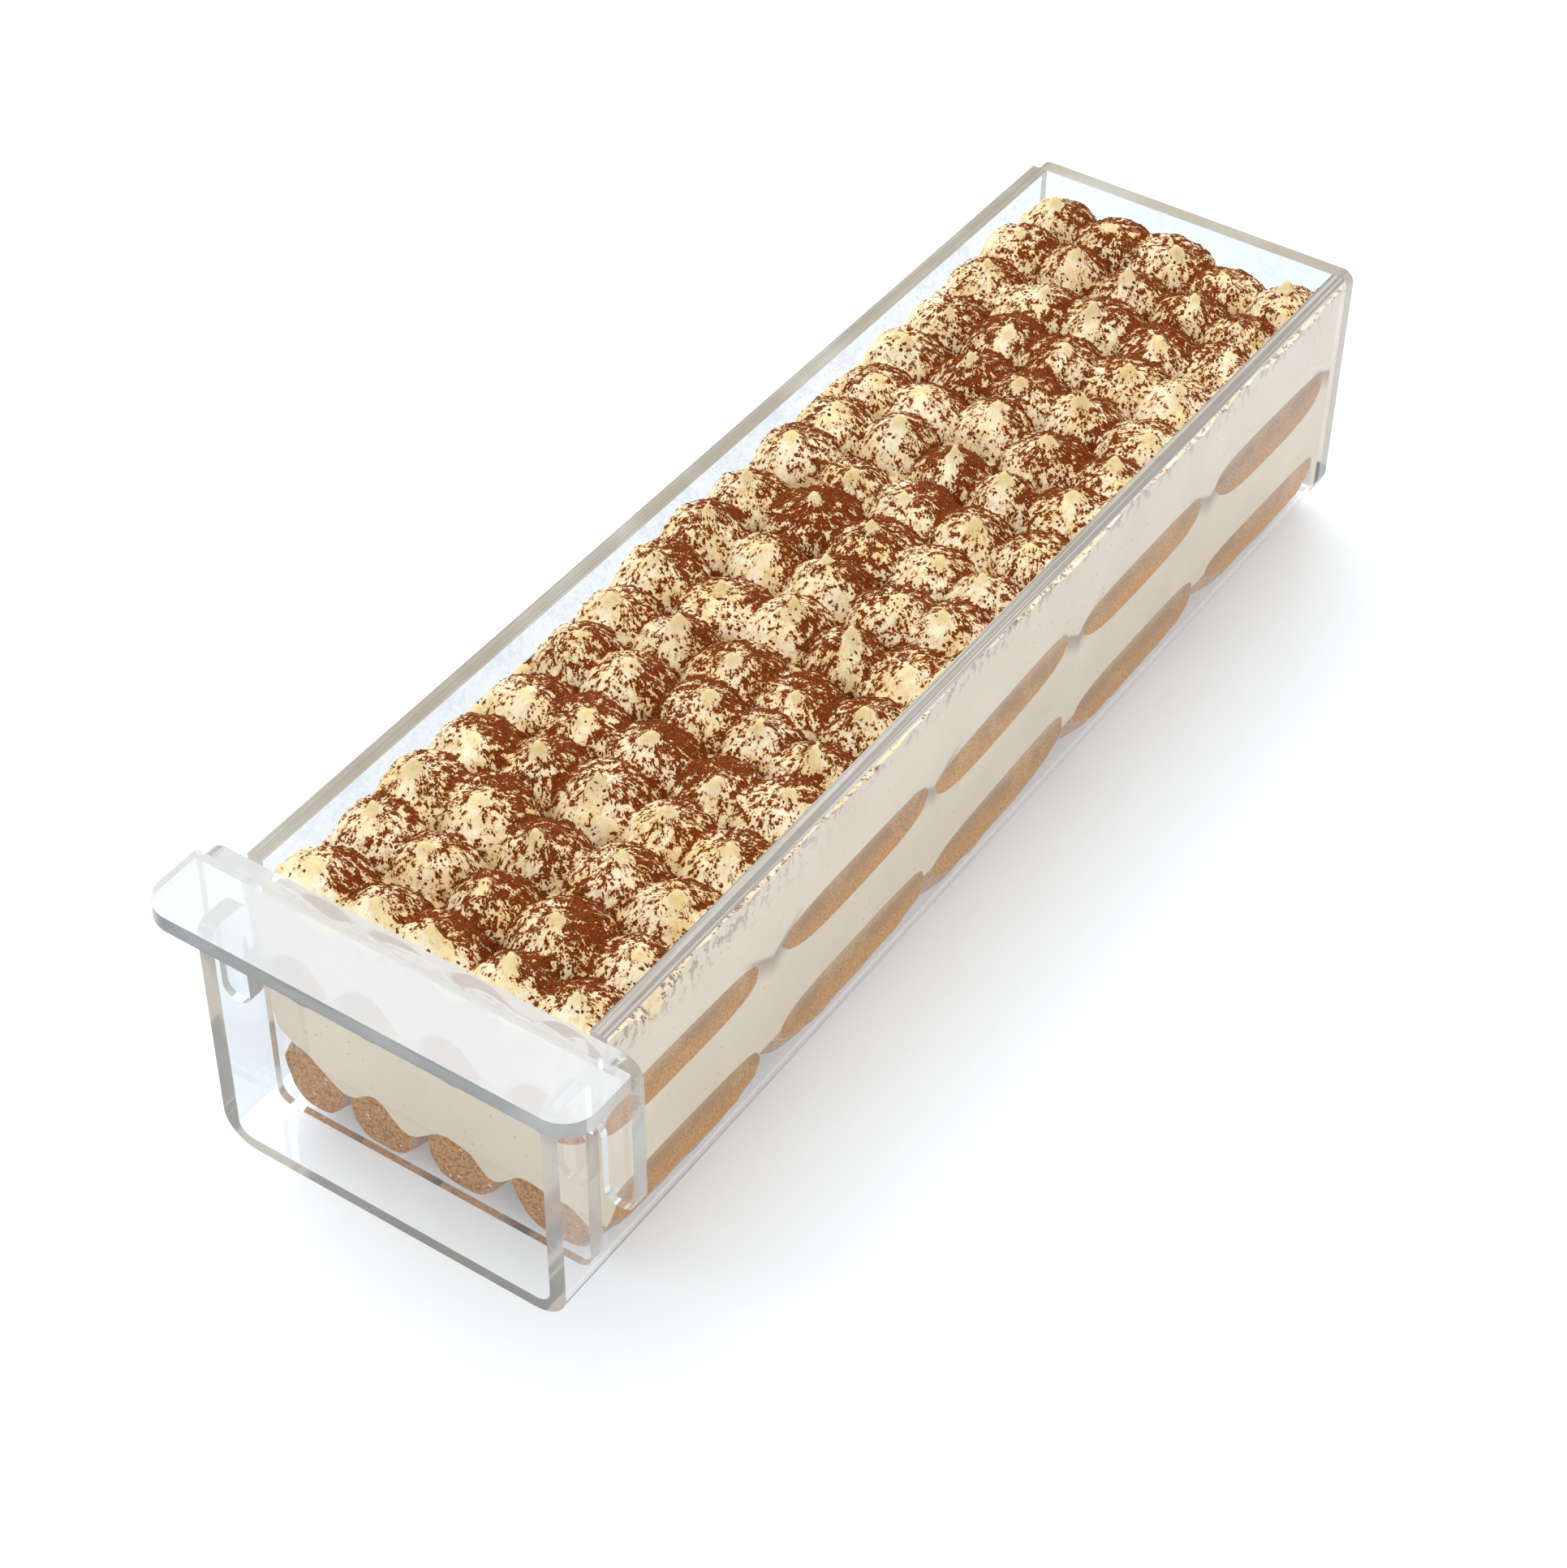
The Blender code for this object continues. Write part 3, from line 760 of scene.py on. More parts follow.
# %% The ladyfinger tree
LUMPS = 1.6 * MM
CRUMBS = 0.5 * MM
TOUCHING = 0.05 * MM


def add_inputs(tree, **names):
    """Names a tree's inputs by their kind: Vector, Float, Int, Object or Material."""
    for kind, inputs in names.items():
        for name in inputs:
            tree.interface.new_socket(name, in_out="INPUT", socket_type="NodeSocket" + kind)
    tree.interface.new_socket("Geometry", in_out="OUTPUT", socket_type="NodeSocketGeometry")


def keep_numbers(graph, geometry, **numbers):
    """Stores each number under its name at every point."""
    for name, value in numbers.items():
        sockets = {"Geometry": geometry, "Name": name, "Value": value}
        geometry = graph.node("GeometryNodeStoreNamedAttribute", sockets, data_type="FLOAT", domain="POINT")
    return geometry


def signed_power(value, exponent):
    """A power that keeps the sign."""
    return value.math("ABSOLUTE") ** exponent * value.math("SIGN")


def biscuit_tree():
    tree = bpy.data.node_groups.new("ladyfinger", "GeometryNodeTree")
    add_inputs(
        tree,
        Vector=("Centre", "Lowest", "Highest"),
        Float=("Half Width", "Half Length", "Rise", "Drop", "Underside", "Tuck", "Tilt", "Bend", "Bake",
               "Seed"),
        Material=("Finish",),
    )
    graph = Graph(tree)
    given = graph.node("NodeGroupInput").out
    ball = graph.geometry("MeshUVSphere", Segments=FINGER_SIDES, Rings=FINGER_RINGS)
    side, up, end = graph.split(graph.geometry("InputPosition"))
    ring = (side * side + up * up).math("SQRT").math("MAXIMUM", 1e-4)
    along = signed_power(end, END_LENGTH) * -1
    taper = ring ** (NEAR_TAPER - (along > 0.0) * (NEAR_TAPER - FAR_TAPER))
    top = up > 0.0
    below = 1 - top
    height = given("Rise") * top + given("Drop") * below
    softer = ((1 - taper) * END_SOFTNESS).math("MINIMUM", 1.0)
    boxiness = BOXINESS + softer * (1 - BOXINESS)
    underside = given("Underside") + softer * (1 - given("Underside"))
    roundness = top * boxiness + below * underside
    tucked = 1 - given("Tuck") * below * (up / ring).math("ABSOLUTE")
    local = graph.join(
        signed_power(side / ring, boxiness) * taper * tucked * given("Half Width"),
        along * given("Half Length"),
        signed_power(up / ring, roundness) * taper * height + along * given("Tilt"),
    )
    settled = graph.vector("ADD", local, given("Centre"))
    shaped = graph.geometry("SetPosition", Geometry=ball, Position=settled)

    def uneven(scale):
        sockets = {"W": given("Seed"), "Scale": scale, "Detail": 1.0}
        return graph.node("ShaderNodeTexNoise", sockets, noise_dimensions="4D") - 0.5

    swell = uneven(150.0) * LUMPS + uneven(700.0) * CRUMBS
    push = graph.vector("SCALE", graph.geometry("InputNormal"), Scale=swell)
    rough = graph.geometry("SetPosition", Geometry=shaped, Offset=push)
    above = graph.vector("MAXIMUM", graph.geometry("InputPosition"), given("Lowest"))
    x, y, z = graph.split(graph.vector("MINIMUM", above, given("Highest")))
    wall = graph.split(given("Highest"))[0]
    ground = graph.split(given("Lowest"))[2]
    bend = given("Bend")
    beyond = (x.math("ABSOLUTE") - wall + bend).math("MAXIMUM", 0.0)
    under = (ground + bend - z).math("MAXIMUM", 0.0)
    spread = (beyond * beyond + under * under).math("SQRT").math("MAXIMUM", 1e-6)
    excess = 1 - (bend / spread).math("MINIMUM", 1.0)
    rounded = graph.join(x - x.math("SIGN") * beyond * excess, y, z + under * excess)
    pressed = graph.geometry("SetPosition", Geometry=rough, Position=rounded)
    now_x, _, now_z = graph.split(graph.geometry("InputPosition"))
    middle = graph.split(given("Centre"))[2]
    marked = keep_numbers(
        graph,
        pressed,
        pressed=now_x.math("ABSOLUTE") > wall - TOUCHING,
        depth=(middle - now_z) / MM,
        bake=given("Bake"),
    )
    smooth = graph.geometry("SetShadeSmooth", Geometry=marked)
    real = graph.geometry("RealizeInstances", Geometry=smooth)
    done = graph.geometry("SetMaterial", Geometry=real, Material=given("Finish"))
    graph.node("NodeGroupOutput", {"Geometry": done})
    return tree


def grow(name, tree, values):
    """An object whose mesh a node tree makes from the named values."""
    made = add_object(name, bpy.data.meshes.new(name))
    modifier = made.modifiers.new(tree.name, "NODES")
    modifier.node_group = tree
    for item in tree.interface.items_tree:
        if item.in_out == "INPUT" and item.name in values:
            modifier[item.identifier] = values[item.name]
    return bake(made)


# %% Make the ladyfingers
ROOM_LOW = (-INSIDE - LIE, GATE_BACK - LIE, FLOOR_TOP + LIE)
ROOM_HIGH = (INSIDE + LIE, BACK_FRONT + LIE, 1.0)

finger_tree = biscuit_tree()
for number, finger in enumerate(fingers):
    # half_width gives the tree its Half Width, and so on
    values = {key.replace("_", " ").title(): value for key, value in vars(finger).items()}
    values["Centre"] = (finger.x, finger.y, finger.z)
    values["Lowest"] = ROOM_LOW
    values["Highest"] = ROOM_HIGH
    values["Bend"] = FINGER_BEND
    values["Seed"] = float(number)
    values["Finish"] = soaked_biscuit
    biscuit = grow(finger.node.replace("ladyfinger", "biscuit"), finger_tree, values)
    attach(biscuit, "root")
    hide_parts(finger.node)
print("last biscuit:", len(biscuit.data.polygons), "faces")

# %% [markdown]
# ## Cream
# Each cream is one closed slab. Its underside follows the biscuits that it lies on, and its sides are pressed
# flat on the acrylic. The upper one is piped: a dollop is a dome with a small nub, where the nozzle was
# pulled away. Metaballs would lose the sharp creases between the domes. A height for every point of a fine
# grid keeps them, and the model's own seeded draws put every dollop where its solid is.

# %% Values of the cream
CREAM_REACH = 0.18 * MM
CREAM_HALF = INSIDE + CREAM_REACH
CREAM_FRONT = GATE_BACK - CREAM_REACH
CREAM_BACK = BACK_FRONT + CREAM_REACH
CREAM_BITE = 0.6 * MM
LOW_VALLEY = 20.0 * MM
MIDDLE_RIDGE = 52.5 * MM
HIGH_VALLEY = 51.5 * MM
BACK_FILL = 8.0 * MM
CLEAR_OF_OTHER = 0.9995
MODEL_GAP = 0.3 * MM
DOLLOP_COLUMNS = 5
DOLLOP_ROWS = 18
DOLLOP_BASE = 71.8 * MM
DOLLOP_RADIUS = 13.6 * MM
DOLLOP_HEIGHT = 9.8 * MM
NUB_HEIGHT = 3.6 * MM
SKIRT_SPREAD = 3.2 * MM
CREASE_FILL = 2.2 * MM
STRAY_ACROSS = 1.0 * MM
STRAY_ALONG = 1.8 * MM
dollop_draws = random.Random(21)
hand_draws = random.Random(5)


def ripple(x, y, wavelength, seed, waves=16):
    """Seeded unevenness with a spread of about 1: a sum of waves that run in random directions."""
    draws = np.random.default_rng(seed)
    total = np.zeros_like(x)
    for _ in range(waves):
        turn = draws.uniform(0, 2 * math.pi)
        pace = 2 * math.pi / wavelength * draws.uniform(0.6, 1.5)
        total += np.sin((x * math.cos(turn) + y * math.sin(turn)) * pace + draws.uniform(0, 2 * math.pi))
    return total / math.sqrt(waves / 2)


def ease(value, low, high):
    share = np.clip((value - low) / (high - low), 0, 1)
    return share * share * (3 - 2 * share)


# %% Where the dollops are
def pipe_dollops():
    """The middle, size and nub of every dollop. The hand's own unevenness is drawn apart."""
    half = INSIDE - MODEL_GAP
    start = GATE_BACK + MODEL_GAP
    width = 2 * half / DOLLOP_COLUMNS
    length = (BACK_FRONT - MODEL_GAP - start) / DOLLOP_ROWS
    drawn = dollop_draws.uniform
    by_hand = hand_draws.uniform
    dollops = []
    for row in range(DOLLOP_ROWS):
        for column in range(DOLLOP_COLUMNS):
            dollops.append(SimpleNamespace(
                x=-half + width * (column + 0.5) + drawn(-STRAY_ACROSS, STRAY_ACROSS),
                y=start + length * (row + 0.5) + drawn(-STRAY_ALONG, STRAY_ALONG),
                radius=DOLLOP_RADIUS * drawn(0.96, 1.06),
                height=DOLLOP_HEIGHT * drawn(0.90, 1.06),
                nub=NUB_HEIGHT * drawn(0.6, 1.15),
                lean=(by_hand(-1.4, 2.6) * MM, by_hand(-4.0, 0.6) * MM),
                nub_turn=by_hand(0, math.pi),
                nub_long=by_hand(1.0, 1.5),
                nub_width=by_hand(1.3, 1.9) * MM,
                nub_share=hand_draws.choice((1.0, 1.0, 0.9, 0.7, 0.5, 0.2)),
                skirt=by_hand(0.2, 2.0) * MM,
                crown=by_hand(2.0, 2.8),
                fullness=by_hand(0.60, 0.90),
                bare=hand_draws.choice((0.0, 0.4, 0.9)),
                pleats=hand_draws.randint(6, 10),
                phase=by_hand(0, 2 * math.pi),
                cocoa=by_hand(-1, 1),
            ))
    for dollop in dollops:
        dollop.x += by_hand(-1.6, 1.6) * MM
        dollop.y += by_hand(-2.2, 2.2) * MM
        dollop.radius *= by_hand(0.90, 1.10)
    return dollops


dollops = pipe_dollops()
print(len(dollops), "dollops")

# %% The piped surface
RIGHT_BANK = 80.0 * MM
LEFT_BANK = 74.5 * MM
HIGHEST_BANK = 82.5 * MM
BANK_RUN = 7.0 * MM
DIP_PLACE = -155 * MM
DIP_REACH = 8 * MM
DIP_DEPTH = 7.0 * MM


def bank_level(x, y):
    """How high the cream is squeezed up the walls. It stands lower at the front of the right wall."""
    uneven = 0.9 * MM * ripple(y, 0 * y, 55 * MM, 51) + 0.3 * MM * ripple(y, 0 * y, 12 * MM, 52)
    dip = DIP_DEPTH * np.exp(-((y - DIP_PLACE) / DIP_REACH) ** 2)
    return np.minimum(np.where(x > 0, RIGHT_BANK - dip, LEFT_BANK) + uneven, HIGHEST_BANK)


def piped_surface(x, y):
    """Height, and for every point the dollop that it belongs to with the place on that dollop."""
    surface = {name: np.zeros_like(x) for name in ("angle", "distance", "nub", "own", "share", "bare")}
    level = 0.6 * MM * ripple(x, y, 60 * MM, 41)
    height = np.full_like(x, DOLLOP_BASE) + 0.4 * MM * ripple(x, y, 9 * MM, 3)
    second = height.copy()
    for number, dollop in enumerate(dollops):
        from_x = x - dollop.x
        from_y = y - dollop.y
        distance = np.hypot(from_x, from_y)
        angle = np.arctan2(from_y, from_x)
        waver = 1 + 0.035 * np.sin(2 * angle + dollop.phase)
        waver += 0.018 * np.sin(dollop.pleats * angle + 3 * dollop.phase)
        share = np.clip(distance / (dollop.radius * waver), 0, 1)
        dome = (1 - share ** dollop.crown) ** dollop.fullness
        nub_x = from_x - dollop.lean[0]
        nub_y = from_y - dollop.lean[1]
        cosine, sine = math.cos(dollop.nub_turn), math.sin(dollop.nub_turn)
        along = (nub_x * cosine + nub_y * sine) / dollop.nub_long
        across = -nub_x * sine + nub_y * cosine
        off_nub = np.hypot(along, across) / dollop.nub_width
        stub = 1 / (1 + off_nub ** 3.6) + 0.20 * np.exp(-(off_nub / 0.4) ** 2)
        skirt = np.exp(-np.hypot(nub_x, nub_y) / SKIRT_SPREAD)
        drip = np.hypot(nub_x + 0.25 * nub_y, (nub_y + 3.5 * MM) / 2) / (2.6 * MM)
        piped = DOLLOP_BASE + dollop.height * dome
        piped += (dollop.nub * dollop.nub_share * stub + dollop.skirt * skirt) * (share < 1)
        higher = piped > height
        second = np.maximum(second, np.minimum(height, piped))
        height = np.maximum(height, piped)
        found = {
            "angle": angle,
            "distance": distance,
            "nub": off_nub,
            "own": number,
            "share": share,
            "bare": dollop.bare * np.exp(-drip ** 2),
        }
        for name, values in found.items():
            surface[name] = np.where(higher, values, surface[name])
    surface["crease"] = 1 - ease(height - second, 0.2 * MM, 3.2 * MM)
    height += CREASE_FILL / 4 * np.clip(1 - (height - second) / CREASE_FILL, 0, 1) ** 2
    height += level + 0.22 * MM * ripple(x, y, 7 * MM, 11) + 0.08 * MM * ripple(x, y, 2.6 * MM, 12)
    wall = bank_level(x, y) - (INSIDE - np.abs(x)) ** 2 / BANK_RUN
    surface["height"] = np.maximum(height, wall)
    return surface


# %% [markdown]
# ## Cocoa
# Cocoa was sifted over the cream. It is thin on steep sides, gathers in the creases, and lies thickest in a
# few patches where the sieve paused. It could be painted as a picture. Here its amount is worked out for
# every point from slope, crease and patches, and both the finish and the scattered flecks read it.

# %% How much cocoa lies where
PATCHES = [(-15, 177, 20), (-20, 128, 20), (-3, 165, 18), (25, 158, 17), (-5, 112, 22), (-20, 21, 20),
           (-5, 15, 18), (-17, -102, 18), (12, -77, 20), (-20, -62, 20), (19, -37, 18), (10, -150, 20),
           (26, -152, 17), (5, 60, 22), (22, 85, 15)]
FAR_SIDE = math.radians(78)
USUAL_COCOA = 0.588


def cocoa_amount(x, y, surface, upright):
    """0 where the cream is bare, 1 where the cocoa covers it."""
    patch = np.zeros_like(x)
    for centre_x, centre_y, spread in PATCHES:
        off = np.hypot(x - centre_x * MM, y - centre_y * MM) / (spread * MM)
        patch = np.maximum(patch, np.exp(-off ** 2))
    sieve = 0.5 + 0.22 * ripple(x, y, 34 * MM, 31) + 0.10 * ripple(x, y, 12 * MM, 32)
    mottle = 0.09 * ripple(x, y, 4.5 * MM, 34)
    own = np.array([dollop.cocoa for dollop in dollops])[surface["own"].astype(int)]
    crease = surface["crease"]
    far = ease(np.cos(surface["angle"] - FAR_SIDE - 0.6 * own), -0.4, 0.8)
    behind = (far - 0.45) * ease(surface["share"], 0.10, 0.55)
    caught = 0.5 + 0.5 * ripple(x, y, 22 * MM, 33)
    amount = USUAL_COCOA + 0.20 * patch + 0.22 * (sieve - 0.5) + 0.08 * own + 0.29 * behind + mottle
    amount += (0.22 + 0.26 * np.clip(caught, 0, 1.3) + 0.14 * patch) * crease * far
    amount += (0.05 * caught + 0.14 * patch) * crease * (1 - far)
    amount *= 0.75 + 0.25 * ease(upright, 0.45, 0.85)
    amount *= 1 - 0.40 * ease(np.abs(x), 44 * MM, 50 * MM)
    amount *= 0.2 + 0.8 * ease(y - GATE_BACK, 3 * MM, 10 * MM)
    amount *= 1 - surface["bare"]
    amount *= 0.1 + 0.9 * ease(surface["nub"], 0.8, 1.6)
    return np.clip(amount, 0, 1)


# %% [markdown]
# The undersides need the biscuits' shapes at every point, so the rule of the ladyfinger tree is written once
# more, this time for whole arrays of points. Where a biscuit tucks in below, its width depends on its height,
# which a few damped rounds settle.

# %% Undersides of the cream
SETTLING_ROUNDS = 12


def over_fingers(x, y, layer, upper, limit):
    """The highest, or lowest, surface of a layer of biscuits at every point."""
    height = np.full_like(x, limit)
    further = np.maximum if upper else np.minimum
    for finger in fingers:
        if finger.layer != layer:
            continue
        along = np.clip((y - finger.y) / finger.half_length, -1, 1)
        taper = (1 - np.abs(along) ** (2 / END_LENGTH)) ** (np.where(along > 0, FAR_TAPER, NEAR_TAPER) / 2)
        middle = finger.z + finger.tilt * along
        softer = np.minimum((1 - taper) * END_SOFTNESS, 1)
        boxiness = BOXINESS + softer * (1 - BOXINESS)
        underside = finger.underside + softer * (1 - finger.underside)
        across = np.abs(x - finger.x) / (finger.half_width * np.maximum(taper, 1e-4))
        flank = np.sqrt(1 - np.clip(across, 0, 1) ** (2 / boxiness))
        if upper:
            surface = middle + finger.rise * taper * flank ** boxiness
        else:
            for _ in range(SETTLING_ROUNDS):
                tucked = np.clip(across / (1 - finger.tuck * flank), 0, 1)
                flank = (flank + np.sqrt(1 - tucked ** (2 / boxiness))) / 2
            surface = middle - finger.drop * taper * flank ** underside + CREAM_BITE
        height = np.where(across < 1, further(surface, height), height)
    return height


# %% [markdown]
# At the gate the creams don't follow the biscuits. Squeezed on the acrylic, the middle cream ends in a wave
# between the biscuits' ends, so that edge is drawn through its crests and dips.

# %% The wave of the cream along the gate
GATE_WAVE = [(-50, 40), (-47, 30), (-42, 27), (-26, 18), (-17, 23), (-7, 15.5), (6, 23), (12, 22),
             (20, 15.5), (31, 23), (40, 22), (50, 17)]
UPPER_ENDS = (-39 * MM, -17 * MM, 9 * MM, 37 * MM)
END_SPREAD = 10.5 * MM
WAVE_REACH = 8 * MM


def gate_wave(x):
    """The lower edge of the middle cream, through the crests and dips above, with cosine ramps."""
    places, levels = np.array(GATE_WAVE).T * MM
    before = np.clip(np.searchsorted(places, x) - 1, 0, len(places) - 2)
    share = np.clip((x - places[before]) / (places[before + 1] - places[before]), 0, 1)
    return blend((1 - np.cos(math.pi * share)) / 2, levels[before], levels[before + 1])


def gate_ends(x, joint, swell):
    """The edge of a cream round the ends of the upper biscuits: level between them, bulging at them."""
    bulge = np.zeros_like(x)
    for middle in UPPER_ENDS:
        bulge = np.maximum(bulge, 1 - np.clip(np.abs(x - middle) / END_SPREAD, 0, 1) ** 2)
    return joint + swell * bulge


def near_gate(y):
    return 1 - ease(y - GATE_BACK, 0.5 * MM, WAVE_REACH)


def blend(share, first, second):
    return first + (second - first) * share


# %% One closed slab from two surfaces
def slab(name, lower, upper, finishes):
    """A closed mesh between two grids of points, with flat sides that take the second finish."""
    points = np.concatenate([np.stack(part, axis=-1).reshape(-1, 3) for part in (lower, upper)])
    count = lower[0].size
    under = np.arange(count).reshape(lower[0].shape)
    over = np.arange(count, len(points)).reshape(upper[0].shape)
    quads = []
    for index in (under, over):
        corners = [index[:-1, :-1], index[:-1, 1:], index[1:, 1:], index[1:, :-1]]
        quads.append(np.stack(corners, axis=-1).reshape(-1, 4))
    sides = [
        list(under[0]) + list(over[0][::-1]),
        list(under[-1][::-1]) + list(over[-1]),
        list(under[:, -1]) + list(over[::-1, -1]),
        list(under[::-1, 0]) + list(over[:, 0]),
    ]
    polygons = [list(map(int, face)) for block in (quads[0][:, ::-1], quads[1], sides) for face in block]
    mesh = bpy.data.meshes.new(name)
    mesh.from_pydata(points.tolist(), [], polygons)
    for finish in finishes:
        mesh.materials.append(finish)
    is_side = np.arange(len(polygons)) >= len(polygons) - len(sides)
    mesh.polygons.foreach_set("use_smooth", ~is_side)
    mesh.polygons.foreach_set("material_index", is_side.astype(np.int32))
    mesh.update()
    print(name, len(polygons), "faces")
    return add_object(name, mesh)


def store(made, name, kind, parts, first):
    """Keeps a number or a vector for every point from first on. The points before it get zeros."""
    layer = made.data.attributes.new(name, kind, "POINT")
    full = np.zeros((len(made.data.vertices), len(parts)), np.float32)
    full[first:] = np.stack(parts, axis=-1).reshape(-1, len(parts))
    layer.data.foreach_set("value" if len(parts) == 1 else "vector", full.ravel())


# %% [markdown]
# ## Finish of the cream
# Mascarpone cream is ivory, a little yellower where it is thin or shaded, with a soft sheen. Light goes a
# little way into it, which a small subsurface weight gives, and a golden haze by the cocoa is partly painted
# shade. Its cocoa is drawn out down each dollop.
#
# Where the cream is pressed on acrylic it looks flatter and greyer, with specks of zest and crumb, smears of
# cocoa near the rim, and a shade in the notches where one upper biscuit ends and the next begins.

# %% Cream finishes
def piped_finish():
    graph = new_finish("piped cream with cocoa")
    place = graph.place()
    flow = graph.attribute("flow", "Vector")
    amount = graph.attribute("cocoa")
    nub = graph.attribute("nub")
    soft = graph.noise(place, 120.0, 3.0)
    tone = graph.mix(soft.step(0.35, 0.7), "FBF1D2", "F4DFAA")
    tone = graph.mix(nub * 0.7, tone, "F0D694")
    streak = graph.noise(flow, 1.0, 2.0, 0.6)
    blot = graph.noise(place, 520.0, 2.5, 0.6)
    fine = graph.noise(place, 1900.0, 2.0, 0.6)
    above = streak * 0.30 + blot * 0.42 + fine * 0.28 - (0.645 - amount * 0.235)
    cocoa_haze_and_painted_shade = above.step(-0.15, 0.0)
    halo = above.step(-0.035, 0.005)
    cover = above.step(-0.006, 0.012)
    grain = graph.noise(place, 2600.0, 2.0, 0.7)
    brown = graph.mix(grain.step(0.35, 0.68), "5C2200", "94460E")
    dust = (graph.noise(flow, 1.7, 3.0, 0.7) + amount * 0.3).step(0.62, 0.85)
    # A golden haze by the cocoa: partly thin damp cocoa dust, partly painted golden shade.
    tone = graph.mix(cocoa_haze_and_painted_shade.math("MAXIMUM", dust) * 0.42, tone, "DDA03C")
    tone = graph.mix(halo * 0.5, tone, "C07A2C")
    return graph.show({
        "Base Color": graph.mix(cover, tone, brown),
        "Roughness": 0.42 + cover * 0.45,
        "Specular IOR Level": 0.13,
        "Subsurface Weight": 0.12,
        "Subsurface Radius": (0.004, 0.0025, 0.0012),
        "Subsurface Scale": 1.0,
        "Normal": graph.bump(cover * 0.35 + grain * cover * 0.5 + soft * 0.25, 0.6, 0.0004),
    })


JOINT_PACE = 76.2 * MM
FIRST_JOINT = -28.5 * MM


def pressed_finish():
    graph = new_finish("cream pressed on acrylic")
    place = graph.place()
    x, y, z = graph.split(place)
    up = z * 1000
    cloud = graph.noise(place, 45.0, 3.0)
    lower = graph.mix(cloud.step(0.3, 0.7), "D4C5AC", "DACCB4")
    higher = graph.mix(cloud.step(0.3, 0.7), "DACCB7", "E0D3BF")
    tone = graph.mix(up.step(35.0, 62.0), lower, higher)
    specks = graph.node("ShaderNodeTexVoronoi", {"Vector": place, "Scale": 330.0})
    pick = graph.noise(place, 160.0, 2.0).step(0.50, 0.56)
    shown = (0.15 - specks.out("Distance")).step(0.0, 0.05) * pick
    tone = graph.mix(shown * 0.6, tone, "B48A4C")
    joint = ((y - FIRST_JOINT) * 1000).math("PINGPONG", JOINT_PACE / 2 / MM)
    valley = 51.0 + joint * 0.55 - up
    shadow = valley.step(-1.2, 1.0) * (valley * -1).step(-9.0, 0.0) * (joint * -1).step(-15.0, -5.0)
    shadow = shadow * (x.math("ABSOLUTE") > INSIDE)
    tone = graph.mix(shadow * (0.5 + cloud * 0.6), tone, "8A7064")
    near_top = up.step(66.0, 78.0) * (y * -1000).step(60.0, 140.0)
    near_top = near_top.math("MAXIMUM", up.step(74.0, 81.0) * 0.8)
    drawn = graph.vector("MULTIPLY", place, (320.0, 320.0, 220.0))
    smear = graph.noise(drawn, 1.0, 3.0, 0.6).step(0.50, 0.58) * near_top
    return graph.show({
        "Base Color": graph.mix(smear * 0.62, tone, "8A6150"),
        "Roughness": 0.5 + shown * 0.1,
        "Specular IOR Level": 0.2,
        "Normal": graph.bump(cloud, 0.2, 0.0004),
    })


piped_cream = piped_finish()
pressed_cream = pressed_finish()

# %% Lines of the cream's surfaces
LINES_ALONG = 48
LINES_ACROSS = 62
SHORTEST_STRETCH = 4 * MM


def lines_along(count):
    """Lines along the tray, close together where one biscuit ends and the next begins."""
    ends = sorted({round(finger.y + finger.half_length, 3) for finger in fingers if finger.column == 1})
    stations = [CREAM_FRONT, *(end for end in ends if end < CREAM_BACK - SHORTEST_STRETCH), CREAM_BACK]
    lines = []
    for start, end in zip(stations, stations[1:]):
        turns = np.linspace(0, math.pi, count)[:-1]
        lines.extend(start + (end - start) * (1 - np.cos(turns)) / 2)
    return np.array(lines + [CREAM_BACK])


coarse_y = lines_along(LINES_ALONG)
coarse_x = CREAM_HALF * np.sin(np.linspace(-math.pi / 2, math.pi / 2, LINES_ACROSS))
under_x, under_y = np.meshgrid(coarse_x, coarse_y)
print(len(coarse_x), "by", len(coarse_y), "lines under the cream")

# %% Upper cream
TOP_STEP = 0.7 * MM
FLOW_TURN = 9.0
FLOW_PACE = 2.2 * MM
OWN_FLOW = 5.3
TOP_CREAM_ENDS = {"joint": 49.8 * MM, "swell": 9 * MM}

fine_x = np.linspace(-CREAM_HALF, CREAM_HALF, round(2 * CREAM_HALF / TOP_STEP) + 1)
fine_y = np.linspace(CREAM_FRONT, CREAM_BACK, round((CREAM_BACK - CREAM_FRONT) / TOP_STEP) + 1)
top_x, top_y = np.meshgrid(fine_x, fine_y)
surface = piped_surface(top_x, top_y)
slope_y, slope_x = np.gradient(surface["height"], fine_y, fine_x)
upright = 1 / np.sqrt(1 + slope_x ** 2 + slope_y ** 2)
cosine, sine = np.cos(surface["angle"]), np.sin(surface["angle"])
flow_depth = surface["distance"] / FLOW_PACE + OWN_FLOW * surface["own"]

under_z = over_fingers(under_x, under_y, "high", True, HIGH_VALLEY)
under_z = blend(near_gate(under_y), under_z, gate_ends(under_x, **TOP_CREAM_ENDS))
lower = (under_x, under_y, under_z)
upper = (top_x, top_y, surface["height"])
cream_top = slab("piped_cream", lower, upper, [piped_cream, pressed_cream])
first = under_x.size
store(cream_top, "cocoa", "FLOAT", [cocoa_amount(top_x, top_y, surface, upright)], first)
store(cream_top, "nub", "FLOAT", [1 - ease(surface["nub"], 0.7, 1.6)], first)
store(cream_top, "flow", "FLOAT_VECTOR", [FLOW_TURN * cosine, FLOW_TURN * sine, flow_depth], first)
store(cream_top, "outward", "FLOAT_VECTOR", [cosine, sine, 0 * sine], first)
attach(cream_top, "root")
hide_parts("cream_top")
print("highest nub", round(surface["height"].max() / MM, 1), "mm up")

